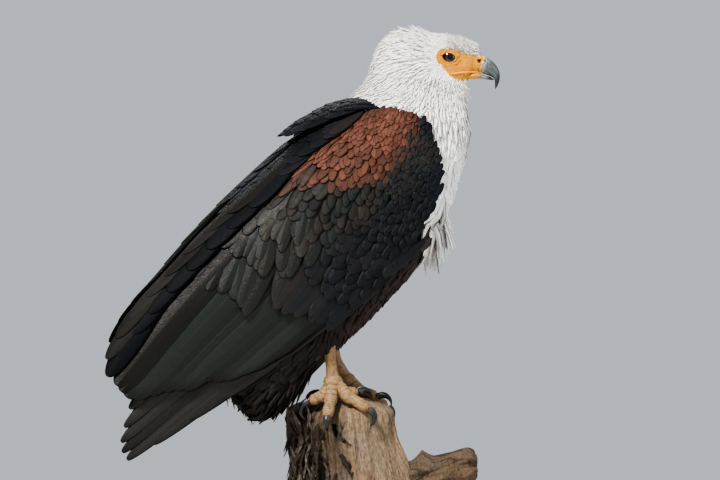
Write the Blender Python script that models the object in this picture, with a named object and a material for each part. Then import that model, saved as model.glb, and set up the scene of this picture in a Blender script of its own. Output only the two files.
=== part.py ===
"""African fish eagle, life size, gripping the top of a broken dead trunk on a display stand.

Units are metres, +Z is up. The bird faces +X and its right side is toward -Y. The origin is the
centre of the stand's underside. Tables are in millimetres and are scaled by MM where they are read.
"""
import bpy
import bmesh
from math import cos, sin, pi, radians, sqrt, asin
from mathutils import Matrix, Vector

MM = 0.001
GAP = 0.0004            # clearance between two pieces that touch
CUTTERS = "cutters"

# ---- stand ----
BASE_RADIUS = 0.150
BASE_HEIGHT = 0.018
BASE_CENTRE = (-0.010, 0.0)
ROD_RADIUS = 0.008
COLLAR_RADIUS = 0.019
COLLAR_HEIGHT = 0.010

# ---- perch: a broken trunk whose broad side is turned a little from the bird's ----
PERCH_TURN = radians(-24)
PERCH_BOTTOM = 0.100
PERCH_SIDES = 20
PERCH_DEPTH = 0.062     # half of the trunk, front to back of its broad side
# height of the ring, left edge and right edge along the broad side
PERCH_RINGS = ((100, -75, 95), (128, -76, 92), (155, -76, 88), (180, -77, 80), (204, -81, 70),
               (224, -81, 65))
PERCH_RIM = 0.240       # broken upper edge, lower on the side of the split slab
PERCH_CROWN = 0.259     # top of the broken end
CROWN_SHARES = (0.97, 0.80, 0.50, 0.20)
CROWN_CURVE = 2.6
BARK_RIBS = ((0.0022, 7, 18), (0.0014, 13, -41))    # depth, count, twist per metre
ROT_SIDE = radians(222)
ROT_EDGE = 0.62
ROT_DEPTH = 0.013
SLAB_SIDE = radians(236)
SLAB_DROP = 0.010
RIM_JAGS = ((0.0035, 5, 0.6), (0.0022, 11, 0.0))    # depth, count, turn
RIM_SOFTNESS = 0.6      # share of the jags that the last side ring follows
# stump of the side branch: distance out, height of its middle, half height, half depth
BRANCH_RINGS = ((52, 136, 40, 30), (76, 141, 34, 29), (96, 147, 30, 27), (116, 153, 27, 25),
                (136, 160, 27, 24), (152, 163, 28, 23), (164, 165, 24, 20), (172, 166, 14, 13))
BRANCH_SIDES = 12
BRANCH_OFFSET = 0.006
BRANCH_RIBS = ((1.6, 5, 1 / 9), (1.1, 9, 0.0))      # depth, count, twist per millimetre
SPIKE_HEIGHT = 11.0     # splinter that stands on the branch
SPIKE_PLACE = 100
SPIKE_REACH = 15

# ---- bird's vertical plane: the folded wing slopes down to the tail ----
WING_BEND = Vector((0.090, 0.0, 0.579))
SLOPE = radians(41.8)
ALONG = Vector((-cos(SLOPE), 0.0, -sin(SLOPE)))
ACROSS = Vector((-sin(SLOPE), 0.0, cos(SLOPE)))

# ---- trunk: breast and belly line (x, z), back line (x, z), half width ----
TRUNK_RIBS = (
    (172, 598, 9, 643, 74),
    (163, 570, -12, 624, 84),
    (148, 536, -36, 602, 90),
    (135, 497, -65, 577, 91),
    (124, 460, -95, 550, 90),
    (99, 427, -123, 521, 87),
    (66, 394, -149, 489, 82),
    (33, 361, -170, 455, 74),
    (-2, 330, -185, 420, 64),
    (-40, 292, -196, 385, 53),
    (-79, 257, -204, 352, 41),
    (-109, 236, -204, 328, 29),
    (-126, 238, -204, 314, 18),
)
TRUNK_ROUNDNESS = 2.25
# white breast plumage: share of the trunk where it starts and leaves it, half angle, depth, hang
BREAST_TOP = 0.09
BREAST_END = 0.29
BREAST_SPREAD = radians(56)
BREAST_DEPTH = 0.015
BREAST_HANG = 0.037
BREAST_ROOT = 0.004     # thickness where the loose tips leave the body
BREAST_SLANT = 0.30
BREAST_TIPS = 7.5       # waves of the loose lower edge for each radian
BREAST_COLUMNS = 10
BREAST_STEPS = (0.0, 0.3, 0.65, 1.0, 1.35, 1.7, 2.0)    # over 1 they hang free of the body
BODY_SIDES = 18

# ---- neck: it turns to the right on a pivot as it rises ----
HEAD_TURN = radians(-24)
NECK_PIVOT = Vector((0.1153, 0.0, 0.0))
# front reach, height there, back reach, height there, half width, share of the turn
NECK_RINGS = (
    (56.7, 598, -106.3, 643, 74, 0.0),
    (56, 620, -94, 653, 66, 0.28),
    (56, 641, -82, 663, 57, 0.58),
    (54, 657, -74, 676, 49, 0.82),
    (48, 672, -69, 693, 41, 1.0),
    (34, 686, -60, 707, 31, 1.0),
)

# ---- head: measured from the point midway between the eyes ----
EYE_CENTRE = Vector((0.1430, -0.0123, 0.7004))
# place along the head, crown, throat, half width
HEAD_STATIONS = (
    (-97, -4, -22, 9),
    (-91, 13, -34, 21),
    (-82, 27, -42, 29),
    (-67, 37, -47, 35),
    (-50, 39.5, -50, 38),
    (-33, 35.5, -51, 38),
    (-18, 34, -50, 36),
    (-5, 33.3, -48, 30),
    (7, 31, -44, 25.5),
    (17, 28.6, -39, 21),
    (26, 25.8, -33, 17),
    (33, 23, -18, 13),
    (38.5, 18.5, 0, 9),
    (41, 11, 4, 5),
)
HEAD_SIDES = 16
SOCKET_DEPTH = 0.0062   # hollow of the bare skin round the eye and the lore
EYE_RADIUS = 0.0125
EYE_SPREAD = 0.0130     # from the middle of the head to the middle of an eye

# place at the top, height, place at the mouth line, height, half width
CERE_RINGS = ((15, 8.0, 15, -19.3, 13.5), (24, 6.2, 23, -19.6, 12.6),
              (34, 4.6, 31, -19.6, 11.7), (46.4, 2.7, 39.0, -18.9, 10.4))
UPPER_BILL_RINGS = (
    (46.9, 2.6, 39.5, -19.0, 10.3),
    (52.6, -0.6, 46.0, -20.8, 9.6),
    (57.8, -4.6, 51.5, -22.6, 8.5),
    (62.4, -9.6, 56.0, -24.6, 7.1),
    (65.7, -15.8, 59.0, -26.8, 5.6),
    (67.1, -22.4, 60.2, -29.4, 4.1),
    (66.6, -29.4, 60.6, -33.0, 2.8),
    (64.4, -35.6, 60.7, -37.0, 1.7),
    (61.5, -40.6, 60.8, -40.4, 0.7),
)
LOWER_BILL_RINGS = ((15, -20.0, 15, -27.4, 11.8), (27, -20.3, 27, -27.6, 10.6),
                    (39, -20.0, 40, -27.4, 8.8), (48, -22.6, 48, -28.0, 6.8),
                    (55, -25.0, 55, -28.8, 4.4), (59, -27.9, 59, -29.3, 1.8))

# ---- folded wing: a rounded shell, by distance behind the bend of the wing ----
SHELL_ROUNDNESS = 2.4
SHELL_WIDTH = ((-60, 86), (0, 96), (100, 101), (200, 95), (300, 75), (400, 53), (500, 36),
               (600, 24))
SHELL_RIDGE = ((-60, 78), (0, 98), (50, 107), (100, 112), (150, 115), (290, 114), (370, 108),
               (415, 106), (451, 102), (488, 93), (521, 80), (600, 70))
SHELL_UNDERSIDE = 0.140

# each group of feathers: lower edge and upper edge on the shell, by distance behind the bend
# (0 is the widest line of the body, 1 the ridge of the back, below 0 the underside)
WING_LOWER = ((-22, 0.24), (-18, 0.15), (-10, 0.05), (5, -0.05), (28, -0.15), (60, -0.215),
              (100, -0.275), (140, -0.32), (190, -0.345), (245, -0.325), (300, -0.27), (362, -0.235),
              (375, -0.18), (403, -0.11), (431, -0.03), (468, 0.03), (502, 0.12), (526, 0.22))
WING_UPPER = ((-22, 0.27), (-18, 0.42), (-8, 0.60), (12, 0.75), (40, 0.86), (80, 0.93), (130, 0.965),
              (395, 0.965), (435, 0.84), (472, 0.67), (502, 0.50), (518, 0.40), (526, 0.33))
TERTIAL_LOWER = ((40, 0.76), (115, 0.83), (186, 0.80), (254, 0.745), (325, 0.70), (386, 0.66),
                 (430, 0.71), (475, 0.74), (505, 0.80), (521, 0.88))
TERTIAL_UPPER = ((40, 0.86), (100, 0.975), (200, 0.994), (480, 0.994), (505, 0.975), (521, 0.955))
PRIMARY_LOWER = ((300, -0.22), (354, -0.225), (390, -0.225), (411, -0.205), (452, -0.165),
                 (470, -0.142), (500, -0.135), (520, -0.135), (545, -0.127), (564, -0.112))
PRIMARY_UPPER = ((300, -0.02), (380, 0.02), (440, 0.055), (515, 0.085), (538, 0.03), (555, -0.02),
                 (564, -0.085))
# where the wing's three named lengths are divided, at the lower edge and at the ridge
SHOULDER_END = (0.092, 0.190)
COVERTS_END = (0.262, 0.300)
WING_START = -0.022
WING_TIP = 0.526
SECONDARY_STEPS = (0.362, 0.03, 0.029)
TERTIAL_START = 0.040
TERTIAL_TIP = 0.521
PRIMARY_START = 0.300
PRIMARY_TIP = 0.564
VANE = 0.0012           # thickness at a feather layer's free edges
LEFT_FOLD = 0.94        # the left wing is folded a little tighter

# ---- black feathers of the upper back, lifted at their tips (along, height over the shell) ----
MANTLE = ((-6, 88, 4, 18), (14, 104, 12, 40), (40, 118, 13, 44), (66, 126, 12, 36),
          (90, 132, 9, 24), (108, 135, 5, 12), (120, 135, 2.0, 4))

# ---- tail, white and closed, under the wing tips ----
TAIL_LENGTH = 0.150
TAIL_START = 0.322      # distance behind the bend of the wing
TAIL_RISE = 0.014       # height of its middle over the widest line
TAIL_THICKNESS = 0.009
TAIL_HALF_WIDTH = 0.026

# ---- legs (right leg, left leg): hip, ankle and foot ----
HIPS = (Vector((-0.012, -0.034, 0.430)), Vector((0.012, 0.036, 0.438)))
ANKLES = (Vector((-0.0375, -0.032, 0.330)), Vector((-0.0060, 0.032, 0.318)))
FEET = (Vector((-0.0300, -0.030, 0.2800)), Vector((0.0150, 0.030, 0.2800)))
THIGH_RADII = (39, 38.5, 36, 30, 20, 11)
TARSUS_RADIUS = 0.0074
# each foot's toes: heading from straight ahead of the perch's broad side, length, claw length and
# how steeply the claw rises before it turns down
TOES = (
    (("inner", 30, 0.036, 0.027, 58), ("middle", -22, 0.050, 0.026, 14),
     ("outer", -102, 0.036, 0.023, 14), ("hind", 186, 0.031, 0.030, 14)),
    (("inner", -18, 0.042, 0.027, 58), ("middle", 8, 0.054, 0.026, 14),
     ("outer", 62, 0.038, 0.023, 14), ("hind", 172, 0.031, 0.030, 58)),
)
PALM_RADIUS = 0.0125
PALM_DROP = 0.0015
TOE_RADIUS = 0.0082
TOE_RINGS = 5
CLAW_RINGS = 5
CLAW_RADIUS = 0.0046
CLAW_POINT = 0.0006
TOE_REST = 0.0004       # clearance of the pads over the wood


# ---------------------------------------------------------------- plain helpers
def smooth(x, table):
    """Smooth value at x of a table of (place, value) pairs, flat beyond its ends."""
    if x <= table[0][0]:
        return table[0][1]
    if x >= table[-1][0]:
        return table[-1][1]
    last = len(table) - 1
    i = max(k for k in range(last) if table[k][0] <= x)

    def slope(k):
        low = table[max(k - 1, 0)]
        high = table[min(k + 1, last)]
        return (high[1] - low[1]) / (high[0] - low[0])

    (x0, y0), (x1, y1) = table[i], table[i + 1]
    h = x1 - x0
    t = (x - x0) / h
    return ((2 * t ** 3 - 3 * t ** 2 + 1) * y0 + (t ** 3 - 2 * t ** 2 + t) * h * slope(i)
            + (3 * t ** 2 - 2 * t ** 3) * y1 + (t ** 3 - t ** 2) * h * slope(i + 1))


def between(rows, t):
    """Smooth row at t (0 first, 1 last) of a table of rows that are evenly spaced."""
    place = t * (len(rows) - 1)
    columns = range(len(rows[0]))
    return [smooth(place, [(k, row[c]) for k, row in enumerate(rows)]) for c in columns]


def resample(rows, count):
    return [between(rows, k / (count - 1)) for k in range(count)]


def power(value, exponent):
    return (abs(value) ** exponent) * (1 if value >= 0 else -1)


def oval(front, back, half_width, side, sides, roundness=2.0):
    """A closed ring from front to back, with half_width to each side of their middle."""
    middle = (front + back) / 2
    reach = (front - back) / 2
    ring = []
    for k in range(sides):
        angle = 2 * pi * k / sides
        ring.append(middle + reach * power(cos(angle), 2 / roundness)
                    + side * half_width * power(sin(angle), 2 / roundness))
    return ring


def material(name, colour, roughness, metallic=0.0):
    found = bpy.data.materials.get(name)
    if found:
        return found
    made = bpy.data.materials.new(name)
    made.use_nodes = True
    shader = made.node_tree.nodes["Principled BSDF"]
    shader.inputs["Base Color"].default_value = (*colour, 1.0)
    shader.inputs["Roughness"].default_value = roughness
    shader.inputs["Metallic"].default_value = metallic
    made.diffuse_color = (*colour, 1.0)
    return made


WHITE = ("white_plumage", (0.80, 0.78, 0.73), 0.8)
BLACK = ("black_plumage", (0.020, 0.024, 0.028), 0.6)
SLATE = ("wing_plumage", (0.040, 0.050, 0.048), 0.6)
CHESTNUT = ("chestnut_plumage", (0.30, 0.09, 0.035), 0.7)
BELLY = ("belly_plumage", (0.13, 0.045, 0.025), 0.75)
CERE = ("bare_yellow_skin", (0.86, 0.42, 0.05), 0.45)
HORN = ("bill_horn", (0.05, 0.06, 0.065), 0.3)
EYE = ("eye", (0.03, 0.012, 0.006), 0.05)
SCALES = ("foot_scales", (0.60, 0.36, 0.13), 0.55)
CLAW = ("claw_horn", (0.03, 0.03, 0.032), 0.3)
WOOD = ("dead_wood", (0.36, 0.25, 0.15), 0.85)
BASE = ("stained_wood", (0.09, 0.055, 0.035), 0.4)
STEEL = ("brushed_steel", (0.55, 0.55, 0.56), 0.3, 1.0)


def add_object(name, bm, look):
    bmesh.ops.recalc_face_normals(bm, faces=bm.faces)
    mesh = bpy.data.meshes.new(name)
    bm.to_mesh(mesh)
    bm.free()
    mesh.materials.append(material(*look))
    mesh.shade_smooth()
    mesh.set_sharp_from_angle(angle=radians(40))
    made = bpy.data.objects.new(name, mesh)
    bpy.context.scene.collection.objects.link(made)
    return made


def loft(name, rings, look):
    """A closed body through rings of equal length, capped at both ends."""
    bm = bmesh.new()
    grid = [[bm.verts.new(point) for point in ring] for ring in rings]
    count = len(rings[0])
    for low, high in zip(grid, grid[1:]):
        for k in range(count):
            n = (k + 1) % count
            bm.faces.new((low[k], low[n], high[n], high[k]))
    bm.faces.new(list(reversed(grid[0])))
    bm.faces.new(grid[-1])
    bmesh.ops.triangulate(bm, faces=[f for f in bm.faces if len(f.verts) > 4])
    return add_object(name, bm, look)


def slab(name, outer, inner, look):
    """A closed body between two equal grids of points, such as a layer of feathers."""
    bm = bmesh.new()
    top = [[bm.verts.new(point) for point in row] for row in outer]
    low = [[bm.verts.new(point) for point in row] for row in inner]
    rows = range(len(top) - 1)
    columns = range(len(top[0]) - 1)
    for i in rows:
        for j in columns:
            bm.faces.new((top[i][j], top[i][j + 1], top[i + 1][j + 1], top[i + 1][j]))
            bm.faces.new((low[i][j], low[i + 1][j], low[i + 1][j + 1], low[i][j + 1]))
    for j in columns:
        for i in (0, len(top) - 1):
            bm.faces.new((top[i][j], top[i][j + 1], low[i][j + 1], low[i][j]))
    for i in rows:
        for j in (0, len(top[0]) - 1):
            bm.faces.new((top[i][j], top[i + 1][j], low[i + 1][j], low[i][j]))
    return add_object(name, bm, look)


def tube(name, path, radii, look, sides=6, up=Vector((0, 0, 1))):
    """A closed round body along a path, with a radius at each point."""
    rings = []
    for k, point in enumerate(path):
        ahead = path[min(k + 1, len(path) - 1)] - path[max(k - 1, 0)]
        across = ahead.cross(up).normalized()
        over = across.cross(ahead).normalized()
        rings.append([point + across * radii[k] * cos(2 * pi * n / sides)
                      + over * radii[k] * sin(2 * pi * n / sides) for n in range(sides)])
    return loft(name, rings, look)


def make_cutter(made):
    """Takes a body out of the model, to be used only to cut or join others."""
    made.hide_render = True
    made.display_type = "WIRE"
    bpy.context.scene.collection.objects.unlink(made)
    bpy.data.collections[CUTTERS].objects.link(made)
    return made


def combine(target, tool, operation="DIFFERENCE", solver="EXACT"):
    """Cuts a body out of the target, or joins it on."""
    step = target.modifiers.new(operation.lower(), "BOOLEAN")
    step.operation = operation
    step.solver = solver
    step.object = tool
    return target


# ---------------------------------------------------------------- stand and perch
def disc(name, centre, radius, low, high, bevel, look, sides=32):
    """A round plate or rod with softened edges, standing between two heights."""
    profile = [(radius - bevel, low), (radius, low + bevel), (radius, high - bevel), (radius - bevel, high)]
    rings = [[Vector((centre[0] + r * cos(2 * pi * k / sides), centre[1] + r * sin(2 * pi * k / sides), z))
              for k in range(sides)] for r, z in profile]
    return loft(name, rings, look)


def on_perch(along, depth, height):
    """A point given along the perch's broad side, through its depth and up."""
    return Matrix.Rotation(PERCH_TURN, 3, "Z") @ Vector((along, depth, height))


def bark_relief(angle, height):
    """Lengthwise ribs and furrows of the weathered wood, with a rotten hollow at one side."""
    ribs = sum(deep * sin(count * angle + twist * height) for deep, count, twist in BARK_RIBS)
    toward_hollow = cos(angle - ROT_SIDE)
    return ribs - ROT_DEPTH * max(0.0, (toward_hollow - ROT_EDGE) / (1 - ROT_EDGE)) ** 0.6


def rim_height(angle):
    """Height of the broken rim, which drops where a slab has split away."""
    slab_side = max(0.0, cos(angle - SLAB_SIDE)) ** 3
    jag = sum(deep * sin(count * angle + turn) for deep, count, turn in RIM_JAGS)
    return PERCH_RIM - SLAB_DROP * slab_side + jag


def perch_top(along, depth):
    """Height of the broken end over a point."""
    row = PERCH_RINGS[-1]
    middle = (row[1] + row[2]) / 2 * MM
    reach = (row[2] - row[1]) / 2 * MM
    x = (along - middle) / reach
    y = depth / PERCH_DEPTH
    return PERCH_CROWN - (PERCH_CROWN - PERCH_RIM) * sqrt(x * x + y * y) ** CROWN_CURVE


def perch_trunk():
    rings = []
    last = PERCH_RINGS[-1]
    angles = [2 * pi * k / PERCH_SIDES for k in range(PERCH_SIDES)]
    for height, left, right in resample(PERCH_RINGS, 7):
        middle = (left + right) / 2 * MM
        reach = (right - left) / 2 * MM
        at_rim = abs(height - last[0]) < 0.01
        ring = []
        for angle in angles:
            relief = bark_relief(angle, height * MM)
            lift = (rim_height(angle) - PERCH_RIM) * RIM_SOFTNESS if at_rim else 0.0
            ring.append(on_perch(middle + (reach + relief) * cos(angle),
                                 (PERCH_DEPTH + relief) * sin(angle), height * MM + lift))
        rings.append(ring)
    for share in CROWN_SHARES:
        ring = []
        for angle in angles:
            relief = bark_relief(angle, PERCH_RIM)
            height = PERCH_CROWN - (PERCH_CROWN - rim_height(angle)) * share ** CROWN_CURVE
            ring.append(on_perch(middle + (reach + relief) * share * cos(angle),
                                 (PERCH_DEPTH + relief) * share * sin(angle), height))
        rings.append(ring)
    return loft("perch", rings, WOOD)


def side_branch():
    """The stump of a side branch, broken off, with a splinter standing on it."""
    rings = []
    for out, height, up, deep in resample(BRANCH_RINGS, 8):
        ring = []
        for k in range(BRANCH_SIDES):
            angle = 2 * pi * k / BRANCH_SIDES
            relief = sum(d * sin(count * angle + twist * out) for d, count, twist in BRANCH_RIBS)
            near = max(0.0, 1 - abs(out - SPIKE_PLACE) / SPIKE_REACH)
            spike = SPIKE_HEIGHT * near * max(0.0, sin(angle)) ** 4
            ring.append(on_perch(out * MM, BRANCH_OFFSET + (deep * cos(angle) + relief) * MM,
                                 (height + (up + relief) * sin(angle) + spike) * MM))
        rings.append(ring)
    return loft("side_branch", rings, WOOD)


# ---------------------------------------------------------------- body
def trunk(name="trunk", grow=0.0):
    rings = []
    for fx, fz, bx, bz, half in resample(TRUNK_RIBS, 13):
        front = Vector((fx * MM, 0, fz * MM))
        back = Vector((bx * MM, 0, bz * MM))
        spread = (front - back).normalized() * grow
        rings.append(oval(front + spread, back - spread, half * MM + grow, Vector((0, 1, 0)), BODY_SIDES,
                          TRUNK_ROUNDNESS))
    rings[0] = [point - Vector((0, 0, GAP)) for point in rings[0]]
    return loft(name, rings, BELLY)


def breast():
    """White breast plumage lying on the front of the trunk, ending in loose hanging tips."""
    outer = []
    inner = []
    for t in BREAST_STEPS:
        on_body = min(t, 1.0)
        hang = max(0.0, t - 1.0)
        fx, fz, bx, bz, half = between(TRUNK_RIBS, BREAST_TOP + (BREAST_END - BREAST_TOP) * on_body)
        front = Vector((fx, 0, fz)) * MM
        back = Vector((bx, 0, bz)) * MM
        line_top = []
        line_low = []
        for j in range(BREAST_COLUMNS + 1):
            angle = BREAST_SPREAD * (2 * j / BREAST_COLUMNS - 1)
            lift = BREAST_DEPTH * on_body ** 3 * cos(angle * pi / 2 / BREAST_SPREAD) ** 1.5 + VANE
            drop = hang * BREAST_HANG * (0.72 + 0.28 * cos(angle * BREAST_TIPS)) * cos(0.8 * angle)
            slide = Vector((-BREAST_SLANT * drop, 0, -drop))
            face = body_point(front, back, half * MM, angle, lift) + slide
            thick = VANE + BREAST_ROOT * max(0.0, 1 - hang)
            low = body_point(front, back, half * MM, angle, -BREAST_ROOT if hang == 0 else lift - thick)
            line_top.append(face)
            line_low.append(low + slide)
        outer.append(line_top)
        inner.append(line_low)
    return slab("breast", outer, inner, WHITE)


def body_point(front, back, half, angle, lift):
    """A point of the trunk's surface at an angle from its front line, lifted off it."""
    reach = (front - back) / 2
    spread = reach.normalized() * lift
    return ((front + back) / 2 + (reach + spread) * power(cos(angle), 2 / TRUNK_ROUNDNESS)
            + Vector((0, (half + lift) * power(sin(angle), 2 / TRUNK_ROUNDNESS), 0)))


def neck_ring(row, grow=0.0, drop=0.0):
    front, front_z, back, back_z, half, share = row
    turn = Matrix.Rotation(HEAD_TURN * share, 3, "Z")
    ahead = turn @ Vector((1, 0, 0))
    side = turn @ Vector((0, 1, 0))
    front_point = NECK_PIVOT + ahead * (front * MM + grow) + Vector((0, 0, front_z * MM - drop))
    back_point = NECK_PIVOT + ahead * (back * MM - grow) + Vector((0, 0, back_z * MM - drop))
    return oval(front_point, back_point, half * MM + grow, side, BODY_SIDES, TRUNK_ROUNDNESS)


def neck(name="neck", grow=0.0):
    rows = resample(NECK_RINGS, 6)
    rings = [neck_ring(row, grow) for row in rows]
    rings[0] = neck_ring(rows[0], grow, drop=-GAP)
    return loft(name, rings, WHITE)


def on_head(x, y, z):
    """A point given ahead of, left of and over the middle of the eyes."""
    return EYE_CENTRE + Matrix.Rotation(HEAD_TURN, 3, "Z") @ Vector((x, y, z))


def socket_hollow(x, z):
    """How far the bare skin lies in from the plumage, deepest in front of the eye."""
    return SOCKET_DEPTH * 2.718 ** (-((x - 0.007) / 0.017) ** 2 - ((z + 0.002) / 0.010) ** 2)


def head(name="head", grow=0.0):
    rings = []
    for x, top, bottom, half in resample(HEAD_STATIONS, 14):
        middle = (top + bottom) / 2 * MM
        reach = (top - bottom) / 2 * MM + grow
        ring = []
        for k in range(HEAD_SIDES):
            angle = 2 * pi * (k + 0.5) / HEAD_SIDES
            z = middle + reach * power(sin(angle), 2 / 2.15)
            y = (half * MM + grow) * power(cos(angle), 2 / 2.35)
            hollow = socket_hollow(x * MM, z)
            if abs(y) > 3 * hollow:
                y -= hollow * (1 if y > 0 else -1)
            ring.append(on_head(x * MM, y, z))
        rings.append(ring)
    return loft(name, rings, WHITE)


def bill_rings(rows, count, grow=0.0, sides=10, roundness=2.2):
    rings = []
    side = Matrix.Rotation(HEAD_TURN, 3, "Z") @ Vector((0, 1, 0))
    for top_x, top_z, low_x, low_z, half in resample(rows, count):
        high = on_head(top_x * MM, 0, top_z * MM)
        low = on_head(low_x * MM, 0, low_z * MM)
        spread = (high - low).normalized() * grow
        rings.append(oval(high + spread, low - spread, half * MM + grow, side, sides, roundness))
    return rings


def bill():
    loft("bill_cere", bill_rings(CERE_RINGS, 6), CERE)
    loft("bill_upper", bill_rings(UPPER_BILL_RINGS, 10), HORN)
    loft("bill_lower", bill_rings(LOWER_BILL_RINGS, 7), HORN)


def ball(name, centre, radius, look):
    bm = bmesh.new()
    bmesh.ops.create_uvsphere(bm, u_segments=10, v_segments=7, radius=radius)
    bmesh.ops.translate(bm, verts=bm.verts, vec=centre)
    return add_object(name, bm, look)


# ---------------------------------------------------------------- wings
def shell_point(along, share, depth, side):
    """A point of the folded wing's shell.

    along is the distance behind the bend of the wing, share runs from the widest line (0) up to
    the ridge of the back (1) or down to the underside (-1), and depth is how far the point lies
    inside the shell.
    """
    width = smooth(along / MM, SHELL_WIDTH) * MM - depth
    if share >= 0:
        height = smooth(along / MM, SHELL_RIDGE) * MM - depth
    else:
        height = SHELL_UNDERSIDE - depth
    angle = abs(share) * pi / 2
    rise = height * power(sin(angle), 2 / SHELL_ROUNDNESS) * (1 if share >= 0 else -1)
    out = width * power(cos(angle), 2 / SHELL_ROUNDNESS)
    return WING_BEND + ALONG * along + ACROSS * rise + Vector((0, side * out, 0))


def edge_taper(t):
    """1 in the middle of a layer, falling to a thin edge at 0 and 1."""
    return max(0.0, 1 - abs(2 * t - 1) ** 3.5) ** 0.5


def scallop(place, pitch):
    """Rounded tips of a row of overlapping feathers, 0 to 1."""
    part = (place / pitch) % 1.0
    return sin(pi * min(1.0, part * 1.25)) ** 0.5 if part < 0.8 else 0.0


def feather_layer(name, side, lower, upper, start, end, rows, columns, outer, thickness, look,
                  blunt_start=False, blunt_end=False, steps=None, fold=1.0):
    """One layer of the folded wing, as a closed body.

    lower and upper are its edges on the shell; start and end are its ends at the lower and the
    upper edge; outer is the depth of its outer face and thickness its full thickness, given at
    its start and its end. steps gives the lower edge rounded feather tips: where they begin, their
    depth and their pitch. fold draws the whole layer in toward the bend of the wing.
    """
    top = []
    low = []
    for i in range(columns + 1):
        t = i / columns
        line_top = []
        line_low = []
        for j in range(rows + 1):
            v = j / rows
            first = start[0] + (start[1] - start[0]) * v
            final = end[0] + (end[1] - end[0]) * v
            along = first + (final - first) * t
            low_edge = smooth(along / MM, lower)
            if steps:
                low_edge -= steps[1] * scallop(along - steps[0], steps[2]) * (along > steps[0])
            share = low_edge + (smooth(along / MM, upper) - low_edge) * v
            ends = 1.0
            if not blunt_start:
                ends *= min(1.0, t * (final - first) / 0.030) ** 0.5
            if not blunt_end:
                ends *= min(1.0, (1 - t) * (final - first) / 0.040) ** 0.5
            full = thickness[0] + (thickness[1] - thickness[0]) * t
            depth = outer[0] + (outer[1] - outer[0]) * t
            half_lens = full * (1 - edge_taper(v) * ends) * 0.35
            line_top.append(shell_point(along * fold, share, depth + half_lens, side))
            inner = depth + VANE + half_lens + (full - VANE) * edge_taper(v) * ends
            line_low.append(shell_point(along * fold, share, inner, side))
        top.append(line_top)
        low.append(line_low)
    return slab(name, top, low, look)


def wing(side, name, fold):
    """The five named layers of one folded wing, from its bend to the tips of its primaries."""
    cut = 1.5 * GAP
    shoulder = feather_layer(
        f"{name}_shoulder", side, WING_LOWER, WING_UPPER, (WING_START, WING_START),
        (SHOULDER_END[0] - cut, SHOULDER_END[1] - cut), 7, 7, (0, 0.001), (0.024, 0.020), CHESTNUT,
        blunt_end=True, fold=fold)
    coverts = feather_layer(
        f"{name}_coverts", side, WING_LOWER, WING_UPPER,
        (SHOULDER_END[0] + cut, SHOULDER_END[1] + cut), (COVERTS_END[0] - cut, COVERTS_END[1] - cut),
        7, 5, (0.001, 0.002), (0.020, 0.012), SLATE, blunt_start=True, blunt_end=True, fold=fold)
    secondaries = feather_layer(
        f"{name}_secondaries", side, WING_LOWER, WING_UPPER,
        (COVERTS_END[0] + cut, COVERTS_END[1] + cut), (WING_TIP, WING_TIP), 7, 11,
        (0.002, 0.003), (0.012, 0.0045), SLATE, blunt_start=True, steps=SECONDARY_STEPS, fold=fold)
    tertials = feather_layer(
        f"{name}_tertials", side, TERTIAL_LOWER, TERTIAL_UPPER, (TERTIAL_START, TERTIAL_START),
        (TERTIAL_TIP, TERTIAL_TIP), 4, 12, (-0.007, -0.0065), (0.0058, 0.0050), BLACK, fold=fold)
    primaries = feather_layer(
        f"{name}_primaries", side, PRIMARY_LOWER, PRIMARY_UPPER, (PRIMARY_START, PRIMARY_START),
        (PRIMARY_TIP, PRIMARY_TIP), 4, 11, (0.0155, 0.0095), (0.0045, 0.0040), BLACK, fold=fold)
    return shoulder, coverts, secondaries, tertials, primaries


def mantle(name="mantle", grow=0.0):
    """Black feathers of the upper back, ending in a lifted point over the ridge."""
    rings = []
    for along, top, thick, half in resample(MANTLE, 8):
        ring = []
        for k in range(12):
            angle = 2 * pi * k / 12
            across = (half + grow / MM) * cos(angle)
            sag = 0.22 * half * (across / half) ** 2
            height = top - thick / 2 - sag + (thick / 2 + grow / MM) * sin(angle)
            ring.append(WING_BEND + ALONG * along * MM + Vector((0, across * MM, 0))
                        + ACROSS * height * MM)
        rings.append(ring)
    return loft(name, rings, BLACK)


def tail():
    """A closed, slightly arched fan with a rounded end."""
    outer = []
    inner = []
    columns = 7
    rows = 6
    for i in range(columns + 1):
        t = i / columns
        line_top = []
        line_low = []
        for j in range(rows + 1):
            v = 2 * j / rows - 1
            half = TAIL_HALF_WIDTH * (0.8 + 0.2 * t)
            along = TAIL_START + TAIL_LENGTH * t * (1 - 0.08 * v * v)
            arch = -0.022 * v * v
            thick = TAIL_THICKNESS * (1 - 0.75 * t) * (1 - 0.7 * v * v) + 0.0012
            middle = WING_BEND + ALONG * along + Vector((0, half * v, 0)) + ACROSS * (TAIL_RISE + arch)
            line_top.append(middle + ACROSS * thick / 2)
            line_low.append(middle - ACROSS * thick / 2)
        outer.append(line_top)
        inner.append(line_low)
    return slab("tail", outer, inner, WHITE)


# ---------------------------------------------------------------- legs
def thigh(name, hip, ankle, grow=0.0):
    path = [hip.lerp(ankle, k / 8) for k in range(9)]
    table = [(k / (len(THIGH_RADII) - 1), r) for k, r in enumerate(THIGH_RADII)]
    radii = [smooth(k / 8, table) * MM + grow for k in range(9)]
    return tube(name, path, radii, BELLY, 14, Vector((0, 1, 0)))


def tarsus(name, ankle, foot, grow=0.0):
    top = ankle + Vector((0, 0, -0.001))
    path = [top.lerp(foot + Vector((0, 0, 0.0035)), k / 6) for k in range(7)]
    radii = [TARSUS_RADIUS * (1 + 0.28 * abs(k / 3 - 1) ** 2) + grow for k in range(7)]
    return tube(name, path, radii, SCALES, 10, Vector((0, 1, 0)))


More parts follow.
